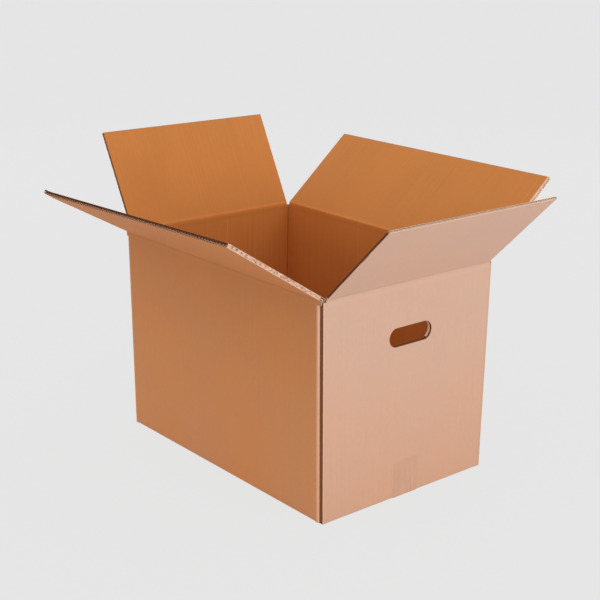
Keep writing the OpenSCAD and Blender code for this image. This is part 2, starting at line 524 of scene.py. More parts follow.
class MeshDraft:
    """Collects closed shells for one piece."""

    def __init__(self) -> None:
        """Starts with no faces."""
        self.points: list[np.ndarray] = []
        self.sheet: list[np.ndarray] = []
        self.marks: dict[str, list[np.ndarray]] = {mark: [] for mark in MARKS}
        self.warm = MIXED_WARMTH
        self.worn = USUAL_WEAR
        self.faces: list[tuple[int, ...]] = []
        self.papers: list[int] = []
        self.count = 0

    def add(self, points: np.ndarray, faces: list[tuple[int, ...]], papers: list[int], sheet: np.ndarray,
            **marks: np.ndarray) -> None:
        """Adds points and faces.

        Args:
            points: Places of the points in the frame.
            faces: Point numbers of each face.
            papers: Paper of each face.
            sheet: Place of each point on the flat sheet, across and along the flutes.
            marks: Values of each point by the name of the mark, where they aren't the usual ones.
        """
        self.faces += [tuple(index + self.count for index in face) for face in faces]
        self.papers += papers
        self.points.append(points)
        self.sheet.append(sheet)
        usual = {"crease": 0.0, "ply": 0.0, "warmth": self.warm, "worn": self.worn}
        for mark in MARKS:
            values = marks.get(mark, usual[mark])
            self.marks[mark].append(np.array(np.broadcast_to(values, len(points)), float))
        self.count += len(points)

    def add_shell(self, outer: np.ndarray, inner: np.ndarray, sheet: np.ndarray,
                  papers: tuple[int, int, int], **marks: np.ndarray) -> None:
        """Adds a closed shell between two sheets of points.

        Args:
            outer: Points of the outer face, as stations by points by 3.
            inner: Points of the inner face, matching the outer ones.
            sheet: Place on the flat sheet of each pair, as stations by points by 2.
            papers: Papers of the outer face, the inner face and the rims.
            marks: Values of each pair by the name of the mark, as stations by points, or of each point, with
                the outer face first.
        """
        stations, row = outer.shape[:2]
        half = stations * row
        faces, kinds = [], []
        for i in range(stations - 1):
            for j in range(row - 1):
                corner = i * row + j
                quad = (corner, corner + row, corner + row + 1, corner + 1)
                faces += [quad, tuple(index + half for index in reversed(quad))]
                kinds += papers[:2]
        rim = [i * row for i in range(stations)]
        rim += [(stations - 1) * row + j for j in range(1, row)]
        rim += [i * row + row - 1 for i in range(stations - 2, -1, -1)]
        rim += range(row - 2, 0, -1)
        for a, b in zip(rim, rim[1:] + rim[:1]):
            faces.append((b, a, a + half, b + half))
            kinds.append(papers[2])
        points = np.concatenate([outer.reshape(-1, 3), inner.reshape(-1, 3)])
        if shell_volume(points, faces) < 0:
            faces = [tuple(reversed(face)) for face in faces]
        doubled = {mark: np.broadcast_to(values, (2, stations, row)).ravel()
                   for mark, values in marks.items()}
        doubled.setdefault("ply", np.repeat([1.0, 0.0], half))
        self.add(points, faces, kinds, np.concatenate([sheet.reshape(-1, 2)] * 2), **doubled)

    def reshape(self, shape: Callable[[np.ndarray], np.ndarray]) -> "MeshDraft":
        """Moves every point by a function of its place, and returns the draft."""
        self.points = [shape(points) for points in self.points]
        return self

    def build(self, name: str, finishes: list[bpy.types.Material], sharp: float = 38) -> bpy.types.Object:
        """Makes the piece's object.

        Args:
            name: Name of the piece.
            finishes: One material for each paper.
            sharp: Angle in degrees past which an edge stays sharp.

        Returns:
            The object, at the origin.
        """
        mesh = bpy.data.meshes.new(name)
        mesh.from_pydata(np.concatenate(self.points).tolist(), [], self.faces)
        for finish in finishes:
            mesh.materials.append(finish)
        mesh.polygons.foreach_set("material_index", np.array(self.papers, np.int32))
        corners = np.zeros(len(mesh.loops), np.int32)
        mesh.loops.foreach_get("vertex_index", corners)
        layer = mesh.uv_layers.new(name="sheet")
        layer.data.foreach_set("uv", np.concatenate(self.sheet)[corners].astype(np.float32).ravel())
        for mark, values in self.marks.items():
            marks = mesh.attributes.new(mark, "FLOAT", "POINT")
            marks.data.foreach_set("value", np.concatenate(values).astype(np.float32))
        mesh.shade_smooth()
        mesh.set_sharp_from_angle(angle=math.radians(sharp))
        mesh.update()
        piece = bpy.data.objects.new(name, mesh)
        bpy.context.scene.collection.objects.link(piece)
        return piece


def shell_volume(points: np.ndarray, faces: list[tuple[int, ...]]) -> float:
    """Measures a closed shell of four-sided faces.

    Args:
        points: Places of the points.
        faces: Point numbers of each face.

    Returns:
        The volume, negative where the faces point inwards.
    """
    a, b, c, d = (points[[face[k] for face in faces]] for k in range(4))
    first = np.einsum("ij,ij->i", a, np.cross(b, c))
    second = np.einsum("ij,ij->i", a, np.cross(c, d))
    return float((first + second).sum() / 6)


def placed(matrix: Matrix, points: np.ndarray) -> np.ndarray:
    """Moves points, whose last axis is X, Y, Z, by a matrix."""
    moved = np.array(matrix)
    return points @ moved[:3, :3].T + moved[:3, 3]


EAR_SIZE = 22 * MM
CRUSH_REACH = 12 * MM


@dataclass(frozen=True)
class FlapSet:
    """How a top flap has been bent and worn by hand.

    It can droop towards its high side, its free edge can be pulled along the score, and the tip at the
    high side can be turned up like an ear. It can be wider at its free edge, by the spread, and where it
    leaves the score, by the flares. Its cut edges can be crushed by a share of the board's thickness,
    towards a level that is kept, from 0 at the inner face to 1 at the outer one.
    """

    high_droop: float = 0.0
    skew: float = 0.0
    ear: float = 0.0
    spread: float = 0.0
    low_flare: float = 0.0
    high_flare: float = 0.0
    crush: float = 0.0
    kept: float = 1.0

    def droop(self, share: np.ndarray | float) -> np.ndarray | float:
        """Angle below the rest pose at a share of the way along the score."""
        return self.high_droop * share

    def pull(self, share: np.ndarray | float, rise: np.ndarray | float) -> np.ndarray | float:
        """How far the flap is widened at a share of the way along the score, and of the way up the flap."""
        flare = np.where(np.asarray(share) < 0.5, self.low_flare, self.high_flare)
        return (2 * share - 1) * (self.spread * rise + flare * (1 - rise))

    def pressed(self, to_edge: np.ndarray | float) -> np.ndarray | float:
        """Share of the board's thickness that is crushed at a distance from a cut edge."""
        return self.crush * np.clip(1 - to_edge / CRUSH_REACH, 0, 1)


@dataclass(frozen=True)
class HandHole:
    """Cut-out with round ends in an end panel."""

    width: float = 82 * MM
    height: float = 28 * MM
    drop: float = 79 * MM


@dataclass(frozen=True)
class CrushedFlutes:
    """Rough strip of crushed flutes that closes a torn side.

    Its dents are a share of the tear's swing. The tone of the paper goes from 0, pale, to about 0.1, brown,
    and rises in the core of the board and in patches. Rates are turns of the noise per metre, along the
    side and through the board.
    """

    dent: float = 0.9
    dent_rates: tuple[float, float] = (520, 700)
    tone: float = 0.035
    core_tone: float = 0.03
    patch_tone: float = 0.07
    patch_rates: tuple[float, float] = (260, 420)


@dataclass(frozen=True)
class TornSide:
    """Ragged liners and loose fibres along one side of a panel.

    The tone of the torn paper goes from 0, pale, to about 0.1, brown. A side with crushed flutes is pale on
    all its faces. A glint lightens the outer liner along the edge. A dent pushes it in, at a share of the
    way along the side. Rates are turns of the noise per metre.
    """

    band: float = 2.0 * MM
    swing: float = 0.4 * MM
    rough_rate: float = 420
    fine_rate: float = 1300
    fine_share: float = 0.7
    curl: float = 0.35
    curl_rate: float = 140
    waver: float = 0.8
    middle_waver: float = 1.2
    step: float = 1.1 * MM
    fibres: int = 30
    fibre_length: float = 1.3 * MM
    tone: float = 0.12
    glint: float = 0.0
    crushed: CrushedFlutes | None = None
    dent: float = 0.0
    dent_share: float = 0.62
    dent_reach: float = 16 * MM


@dataclass(frozen=True)
class FrayedRim:
    """Frayed paper along the free edge of a flap, which stands a little past the cut.

    The teeth of the fine flute have a tone of their own, from 0, pale, to about 0.1, brown.
    """

    height: float = 0.3 * MM
    proud_share: float = 0.125
    paper: float = 0.36 * MM
    # The pale cut look on the right flap's rim and the darker fluted look on the other rims are painted
    # light and painted shade on one kind of edge
    look: Paper = Paper.FLUTE
    tooth_tone: float = 0.05


@dataclass
class BoardPanel:
    """Flat stretch of double wall board.

    Its local directions are across the flutes, outwards from the inner face and along the flutes.
    """

    low_side: float
    high_side: float
    low_end: float
    high_end: float
    place: Matrix
    shift: Vector = field(default_factory=lambda: Vector((0, 0)))
    hole: HandHole | None = None
    hole_level: float = 0.0
    torn_low: TornSide | None = None
    torn_high: TornSide | None = None
    bent: FlapSet = field(default_factory=FlapSet)
    pivot_level: float = 0.0
    rim: FrayedRim | None = None

    def build(self, draft: MeshDraft, trees: PaperTrees, finish: bpy.types.Material) -> None:
        """Adds the five sheets, their frayed rims, and ragged strips with fibres along torn sides.

        Args:
            draft: Where the faces go.
            trees: The node trees of the papers.
            finish: A material for the sheets while they are in the trees.
        """
        for number, layer in enumerate(BOARD.layers):
            low, high = self.low_side, self.high_side
            for torn, way in ((self.torn_low, -1), (self.torn_high, 1)):
                if not torn or layer.is_fluted and not torn.crushed:
                    continue
                if way < 0:
                    low += torn.band
                else:
                    high -= torn.band
                if not layer.is_fluted:
                    self._add_tear(draft, torn, layer, low if way < 0 else high, way, number)
            self._add_sheet(draft, trees.paper, finish, layer, (low, high, self.low_end, self.high_end))
            if self.rim:
                top = self.high_end + self.rim.height * self.rim.proud_share
                span = (low, high, self.high_end - self.rim.height, top)
                self._add_sheet(draft, trees.paper, finish, layer, span, is_rim=True)
        for torn, side, way in ((self.torn_low, self.low_side, -1), (self.torn_high, self.high_side, 1)):
            if torn and torn.fibres:
                self._add_fibres(draft, trees.fibres, finish, torn, side)
            if torn and torn.crushed:
                self._add_crush(draft, torn, side, way)

    def _add_sheet(self, draft: MeshDraft, tree: bpy.types.NodeTree, finish: bpy.types.Material,
                   layer: PaperLayer, span: tuple[float, float, float, float],
                   is_rim: bool = False) -> None:
        """Adds one sheet of paper.

        Args:
            draft: Where the faces go.
            tree: The node tree of one sheet.
            finish: A material for the sheet while it is in the tree.
            layer: The layer of the board.
            span: Low and high sides, then low and high ends.
            is_rim: Whether this is the frayed rim along the free edge, with one look on all faces.
        """
        low, high, low_end, high_end = span
        steps = WAVE_STEPS if layer.is_fluted or self.hole else PLAIN_STEPS
        hole = None if is_rim else self.hole
        mesh = evaluate_tree(tree, {
            "Run": high - low, "Middle": (low + high) / 2, "Low": low_end, "High": high_end,
            "Level": layer.level, "Wave Length": layer.wave_length, "Wave Height": layer.wave_height,
            "Paper": self.rim.paper if is_rim else layer.paper, "Spacing": layer.wave_length / steps,
            "Hole Width": hole.width if hole else 0.0, "Hole Height": hole.height if hole else 0.0,
            "Hole Level": self.hole_level if hole else self._middle_row(low_end, high_end),
            "Finish": finish})
        is_tooth = is_rim and layer.is_fluted and layer.wave_length == BOARD.fine_length
        if is_tooth:
            self._take(draft, mesh, layer, Paper.CUT, self.rim.tooth_tone)
        else:
            self._take(draft, mesh, layer, self.rim.look if is_rim else None)

    def _middle_row(self, low_end: float, high_end: float) -> float:
        """Where a sheet without a hole has its middle row of points: half way, or where crushing starts."""
        half_way = (low_end + high_end) / 2
        return max(high_end - CRUSH_REACH, half_way) if self.bent.crush else half_way

    def _take(self, draft: MeshDraft, mesh: bpy.types.Mesh, layer: PaperLayer | None, paper: Paper | None,
              tone: float = 0.0) -> None:
        """Moves the faces of an evaluated mesh into the draft, and deletes the mesh.

        Args:
            draft: Where the faces go.
            mesh: The mesh, in the panel's own directions.
            layer: The layer that it belongs to, or None where the paper is given.
            paper: The paper of all faces, or None where each face shows its layer's own.
            tone: Tone of the cut faces, from 0, pale, to about 0.1, brown.
        """
        points = np.zeros(len(mesh.vertices) * 3)
        mesh.vertices.foreach_get("co", points)
        points = points.reshape(-1, 3)
        faces = [tuple(face.vertices) for face in mesh.polygons]
        papers = [self._paper_of(layer, face) if paper is None else paper for face in mesh.polygons]
        bpy.data.meshes.remove(mesh)
        draft.add(self._settled(points), faces, papers, self._sheet_place(points),
                  ply=np.full(len(points), tone))

    def _add_fibres(self, draft: MeshDraft, tree: bpy.types.NodeTree, finish: bpy.types.Material,
                    torn: TornSide, side: float) -> None:
        """Adds loose fibres along one torn side.

        Args:
            draft: Where the faces go.
            tree: The node tree of the fibres.
            finish: A material for the fibres while they are in the tree.
            torn: How the side is torn.
            side: Where the side is, across the flutes.
        """
        middle = BOARD.thickness / 2
        mesh = evaluate_tree(tree, {
            "Start": (side, middle, self.low_end), "End": (side, middle, self.high_end),
            "Count": torn.fibres, "Length": torn.fibre_length, "Spread": middle,
            "Seed": round(abs(side) / MM) + (side > 0), "Finish": finish})
        self._take(draft, mesh, None, Paper.CUT, torn.tone)

    def _paper_of(self, layer: PaperLayer, face: bpy.types.MeshPolygon) -> int:
        """Finds the paper of a face of a sheet, from its place and direction before the panel is placed.

        Args:
            layer: The layer of the sheet.
            face: The face.

        Returns:
            The paper that shows on it.
        """
        steep, sideways = 0.6, 0.5
        normal, centre = face.normal, face.center
        is_edge = abs(normal.z) > steep if layer.is_fluted else abs(normal.y) < sideways
        if is_edge:
            in_hole = self.hole and abs(centre.z - self.hole_level) < self.hole.height
            return Paper.FLUTE if in_hole and abs(centre.x) < self.hole.width else Paper.CUT
        if layer.is_fluted:
            return Paper.FLUTE
        return layer.outward if normal.y > 0 else layer.inward

    def _add_tear(self, draft: MeshDraft, torn: TornSide, layer: PaperLayer, start: float, way: int,
                  seed: int, across: int = 5) -> None:
        """Adds a strip with a ragged, curled edge to one liner.

        Args:
            draft: Where the faces go.
            torn: How the side is torn.
            layer: The liner.
            start: Where the strip starts, across the flutes.
            way: -1 or 1, towards the low or the high side.
            seed: Seed of the ragged edge.
            across: Number of points across the strip.
        """
        stations = max(2, round((self.high_end - self.low_end) / torn.step))
        ends = np.linspace(self.low_end, self.high_end, stations)
        local = np.zeros((stations, across, 3))
        inwards = 1 if layer.level < BOARD.thickness / 2 else -1
        share = np.linspace(0, 1, across)
        is_outside = layer.outward == Paper.OUTER
        is_middle = layer.outward == layer.inward
        dent_middle = self.low_end + torn.dent_share * (self.high_end - self.low_end)
        least_bend = 0.02
        for i, end in enumerate(ends):
            rough = wander(seed + NoiseSeed.TEAR_SIDE * way + start, end * torn.rough_rate)
            rough += torn.fine_share * wander(seed + NoiseSeed.TEAR_FINE, end * torn.fine_rate)
            loose = wander(seed + NoiseSeed.CURL * way, end * torn.curl_rate)
            bend = torn.curl * (torn.middle_waver * loose if is_middle else 1 + torn.waver * loose)
            if is_outside:
                bend += torn.dent * math.exp(-((end - dent_middle) / torn.dent_reach) ** 2)
            reach = torn.band + torn.swing * rough
            turn = max(abs(bend), least_bend)
            angle = share * turn
            local[i, :, 0] = start + way * reach * np.sin(angle) / turn
            local[i, :, 1] = layer.level + inwards * math.copysign(1, bend) * reach * (1 - np.cos(angle))
            local[i, :, 2] = end
        half = np.array((0, layer.paper / 2, 0))
        outer, inner = (self._settled((local + sign * half).reshape(-1, 3)).reshape(local.shape)
                        for sign in (1, -1))
        sheet = self._sheet_place(local.reshape(-1, 3)).reshape(stations, across, 2)
        papers = (Paper.CUT,) * 3 if torn.crushed else (layer.outward, layer.inward, Paper.CUT)
        draft.add_shell(outer, inner, sheet, papers, ply=np.full((stations, across), torn.tone),
                        crease=np.full((stations, across), -torn.glint * is_outside))

    def _add_crush(self, draft: MeshDraft, torn: TornSide, side: float, way: int, across: int = 9) -> None:
        """Adds the crushed flutes that close a torn side, as one rough strip.

        Args:
            draft: Where the faces go.
            torn: How the side is torn.
            side: Where the side is, across the flutes.
            way: -1 or 1, towards the low or the high side.
            across: Number of points through the board.
        """
        crushed = torn.crushed
        stations = max(2, round((self.high_end - self.low_end) / torn.step))
        ends, levels = np.meshgrid(
            np.linspace(self.low_end, self.high_end, stations),
            np.linspace(BOARD.liner, BOARD.thickness - BOARD.liner, across), indexing="ij")
        along_rate, through_rate = crushed.dent_rates
        rough = wander_grid(NoiseSeed.CRUSH + way, ends * along_rate, levels * through_rate)
        along_rate, through_rate = crushed.patch_rates
        patch = wander_grid(NoiseSeed.CRUSH_PATCH + way, ends * along_rate, levels * through_rate)
        strip = np.stack([side + way * (rough - 1) * crushed.dent * torn.swing, levels, ends], 2)
        deeper = strip - np.array((way * torn.band / 2, 0, 0))
        outer, inner = (self._settled(points.reshape(-1, 3)).reshape(strip.shape)
                        for points in (strip, deeper))
        sheet = self._sheet_place(strip.reshape(-1, 3)).reshape(stations, across, 2)
        core = np.sin(math.pi * levels / BOARD.thickness)
        tone = crushed.tone + crushed.core_tone * core + crushed.patch_tone * patch
        draft.add_shell(outer, inner, sheet, (Paper.CUT,) * 3, ply=tone)

    def _settled(self, points: np.ndarray) -> np.ndarray:
        """Crushes, flares and droops the panel about its pivot, and places it in the frame.

        Args:
            points: Places in the panel's own directions.

        Returns:
            Their places in the frame.
        """
        bent = self.bent
        share = (points[:, 0] - self.low_side) / (self.high_side - self.low_side)
        angle = bent.droop(share)
        to_side = np.minimum(points[:, 0] - self.low_side, self.high_side - points[:, 0])
        pressed = bent.pressed(np.minimum(to_side, self.high_end - points[:, 2]))
        kept = BOARD.thickness * bent.kept
        out = kept + (points[:, 1] - kept) * (1 - pressed) - self.pivot_level
        turned = points.copy()
        turned[:, 0] += bent.skew * points[:, 2] + bent.pull(share, points[:, 2] / self.high_end)
        tip = (points[:, 0] - self.high_side) + (points[:, 2] - self.high_end)
        out = out - bent.ear * np.clip(1 + tip / EAR_SIZE, 0, 1) ** 2
        turned[:, 1] = out * np.cos(angle) + points[:, 2] * np.sin(angle) + self.pivot_level
        turned[:, 2] = points[:, 2] * np.cos(angle) - out * np.sin(angle)
        return placed(self.place, turned)

    def _sheet_place(self, points: np.ndarray) -> np.ndarray:
        """Place of local points on the flat sheet."""
        return points[:, [0, 2]] + np.array(self.shift)


def bend_points(start: tuple[float, float], centre: tuple[float, float], angles: np.ndarray, radius: float,
                end: tuple[float, float], straight: int) -> np.ndarray:
    """Outline of one face of a fold: a straight stretch, an arc and a straight stretch.

    Args:
        start: First point.
        centre: Centre of the arc.
        angles: Angles of the points on the arc.
        radius: Radius of the arc.
        end: Last point.
        straight: Number of points on each straight stretch, closer together next to the arc.

    Returns:
        The points.
    """
    arc = np.array(centre) + radius * np.stack([np.cos(angles), np.sin(angles)], 1)
    crowding = 0.6
    share = np.linspace(0, 1, straight + 1)[:-1, None] ** crowding
    before = np.array(start) + (arc[0] - np.array(start)) * share
    after = (np.array(end) + (arc[-1] - np.array(end)) * share)[::-1]
    return np.concatenate([before, arc, after])


def distances(points: np.ndarray) -> np.ndarray:
    """Distance along a row of points to each of them."""
    steps = np.linalg.norm(np.diff(points, axis=0), axis=1)
    return np.concatenate([[0], np.cumsum(steps)])


@dataclass(frozen=True)
class ScoreShading:
    """Painted light along a score: shade in its valley on the outside and a highlight on its ridge inside,
    with the reverse in a band below it.

    It wobbles, slowly and finely, and its strength comes and goes. Rates are turns of the noise per metre,
    and shifts are added to the seed of the score.
    """

    width: float = 2.2 * MM
    slow_wobble: float = 0.25 * MM
    slow_rate: float = 38
    fine_wobble: float = 0.12 * MM
    fine_rate: float = 130
    fine_shift: float = 5
    reverse_drop: float = 6.6 * MM
    reverse_width: float = 3.3 * MM
    reverse_share: float = 0.4
    strength: float = 0.8
    strength_swing: float = 0.4
    strength_rate: float = 60
    strength_shift: float = 2

    def wobble(self, seed: float, across: float) -> float:
        """How far the line strays up or down at a place along the score."""
        return (self.slow_wobble * wander(seed, across * self.slow_rate)
                + self.fine_wobble * wander(seed + self.fine_shift, across * self.fine_rate))

    def mark(self, seed: float, across: float, above: np.ndarray) -> np.ndarray:
        """Finds how strongly the painted shade and highlight show along the score.

        Args:
            seed: Seed of the score.
            across: Place along the score.
            above: Heights above the line.

        Returns:
            The strength at each height, negative in the reverse.
        """
        line = np.exp(-(above / self.width) ** 2)
        reverse = np.exp(-((above + self.reverse_drop) / self.reverse_width) ** 2)
        swing = self.strength_swing * wander(seed + self.strength_shift, across * self.strength_rate)
        return (line - self.reverse_share * reverse) * (self.strength + swing)


@dataclass
class TopFold:
    """Folded strip of board along a top score, from the wall into the flap."""

    hinge: Hinge
    bent: FlapSet
    slot_drop: float
    round_start: float = 0.0
    round_radius: float = 0.0
    # Strength of the painted shade that the flap throws on the wall's outer face below the score
    shade: float = 0.0
    score: ScoreShading = field(default_factory=ScoreShading)
    wall_reach: float = 10 * MM
    flap_reach: float = 5 * MM
    bend_half: float = 3 * MM
    fillet: float = 1.6 * MM
    column: float = 5 * MM
    slot_round: float = 1.8 * MM
    straight: int = 9
    arc: int = 13

    def build(self, draft: MeshDraft, shift: Vector) -> None:
        """Adds the strip.

        Args:
            draft: Where the faces go.
            shift: Place of the middle of the score on the flat sheet.
        """
        hinge, bent = self.hinge, self.bent
        run = np.linspace(-hinge.run / 2, hinge.run / 2, round(hinge.run / self.column) + 1)
        share = np.linspace(0, 1, len(run))
        seed = NoiseSeed.SCORE + list(Side).index(hinge.side)
        outer, inner, sheet, crease = [], [], [], []
        for across, part in zip(run, share):
            lines = self._section(hinge.tilt + bent.droop(part), self.score.wobble(seed, across))
            along = distances(lines[0])
            along += self.flap_reach - along[-1]
            above = np.clip(along, 0, None)
            faded = np.clip((along + self.slot_drop) / self.slot_round, 0, 1)
            pulled = across + bent.skew * above + bent.pull(part, above / hinge.depth) * faded
            for rows, line in zip((outer, inner), self._worn(lines, along, across)):
                rows.append(np.concatenate([pulled[:, None], line], 1))
            sheet.append(np.stack([np.full(len(along), across), along], 1) + np.array(shift))
            # Painted shade and highlight along the score, and on the outer face below it painted shade from
            # the flap
            above_line = along - along[len(along) // 2]
            marked = self.score.mark(seed, across, above_line)
            under = np.clip(0.5 - above_line / self.score.width, 0, 1)
            crease.append((marked + self.shade * under, marked))
        draft.add_shell(placed(hinge.upright, np.array(outer)), placed(hinge.upright, np.array(inner)),
                        np.array(sheet), (Paper.OUTER, Paper.INNER, Paper.CUT),
                        crease=np.array(crease).swapaxes(0, 1))

    def _section(self, tilt: float, wobble: float) -> tuple[np.ndarray, np.ndarray]:
        """Draws the fold's outlines, outwards and up from the pivot.

        Args:
            tilt: Angle of the flap from upright.
            wobble: How far the score strays up or down.

        Returns:
            The outer outline and the inner one.
        """
        hinge = self.hinge
        out = np.array((math.cos(tilt), -math.sin(tilt)))
        up = np.array((math.sin(tilt), math.cos(tilt)))
        turn = np.linspace(math.pi, math.pi - tilt, self.arc)
        reach = hinge.outer_reach + self.fillet
        valley = (reach, -reach * math.tan(tilt / 2) + wobble)
        outer = bend_points((hinge.outer_reach, -self.wall_reach), valley, turn, self.fillet,
                            hinge.outer_reach * out + self.flap_reach * up, self.straight)
        inner = bend_points((-hinge.inner_reach, -self.wall_reach), (0, wobble), turn, hinge.inner_reach,
                            -hinge.inner_reach * out + self.flap_reach * up, self.straight)
        return outer, inner

    def _worn(self, lines: tuple[np.ndarray, np.ndarray], along: np.ndarray,
              across: float) -> tuple[np.ndarray, np.ndarray]:
        """Crushes the fold next to its ends, and rounds its foot at the glued corner.

        Args:
            lines: Outer and inner outlines.
            along: Distance of each point past the pivot.
            across: Place along the score.

        Returns:
            The worn outlines.
        """
        rising = np.clip((along + self.wall_reach) / (self.wall_reach + self.flap_reach), 0, 1)
        pressed = self.bent.pressed(self.hinge.run / 2 - abs(across)) * rising
        thinned = (lines[1] - lines[0]) * pressed[:, None]
        outer = lines[0] + thinned * (1 - self.bent.kept)
        inner = lines[1] - thinned * self.bent.kept
        if self.round_radius and across < self.round_start:
            past = self.round_start - across
            drop = self.round_radius - math.sqrt(self.round_radius ** 2 - past ** 2)
            outer[:, 0] -= drop * np.clip(-along / self.bend_half, 0, 1)
        return outer, inner

    def blend_ends(self) -> tuple[Vector, Vector]:
        """Finds where the strip starts and stops bending.

        Returns:
            A point below the pivot and one beyond it.
        """
        tilt = self.hinge.tilt
        beyond = Vector((0, math.sin(tilt), math.cos(tilt))) * self.bend_half
        return self.hinge.upright @ Vector((0, 0, -self.bend_half)), self.hinge.upright @ beyond


@dataclass(frozen=True)
class BaseFolds:
    """Sizes of the folds under the walls and of the base flaps."""

    gap: float = 0.3 * MM
    lift: float = 0.15 * MM
    fold_radius: float = 4 * MM
    reach: float = 10 * MM
    heel_rise: float = 0.6 * MM
    heel_bevel: float = 1 * MM
    heel_run: float = 9.2 * MM

    @property
    def long_floor(self) -> float:
        """Height of the upper face of the long base flaps."""
        return BOARD.thickness

    @property
    def end_floor(self) -> float:
        """Height of the upper face of the end base flaps, the floor of the box."""
        return 2 * BOARD.thickness + self.gap


@dataclass(frozen=True)
class GluedCorner:
    """Sizes of the corner where the front panel's tab is glued behind the right end panel."""

    tab_length: float = 38 * MM
    tab_paper: float = 4 * MM
    tab_slant: float = math.radians(30)
    edge_set: float = 2 * MM
    fold_radius: float = 7 * MM
    bed: float = 1.2 * MM
    slack: float = 0.05 * MM
    dent: float = 0.25 * MM
    dent_rate: float = 45
    # Share of the fold's arc over which a painted highlight comes in, and its strength
    highlight_share: float = 0.4
    highlight_mark: float = -3.4
    sheet_start: float = 2.2


@dataclass(frozen=True)
class FoldedCorner:
    """Dents up a folded corner's edge, and inside a line of painted shade in the corner beside a strip of
    painted highlight.

    The sheet step parts the corners on the flat sheet.
    """

    dent: float = 0.21 * MM
    dent_rate: float = 60
    corner_shade: float = -2.4
    corner_highlight: float = 0.7
    sheet_step: float = 0.31


@dataclass(frozen=True)
class HoleLining:
    """Torn inner paper that stands in one end of a hand hole."""

    half_turn: float = math.radians(58)
    depth: float = 3.4 * MM
    swing: float = 1.0 * MM
    turn_rate: float = 9
    depth_rate: float = 2
    flutter: float = 0.4
    lift: float = 0.15 * MM
    paper: float = 0.3 * MM


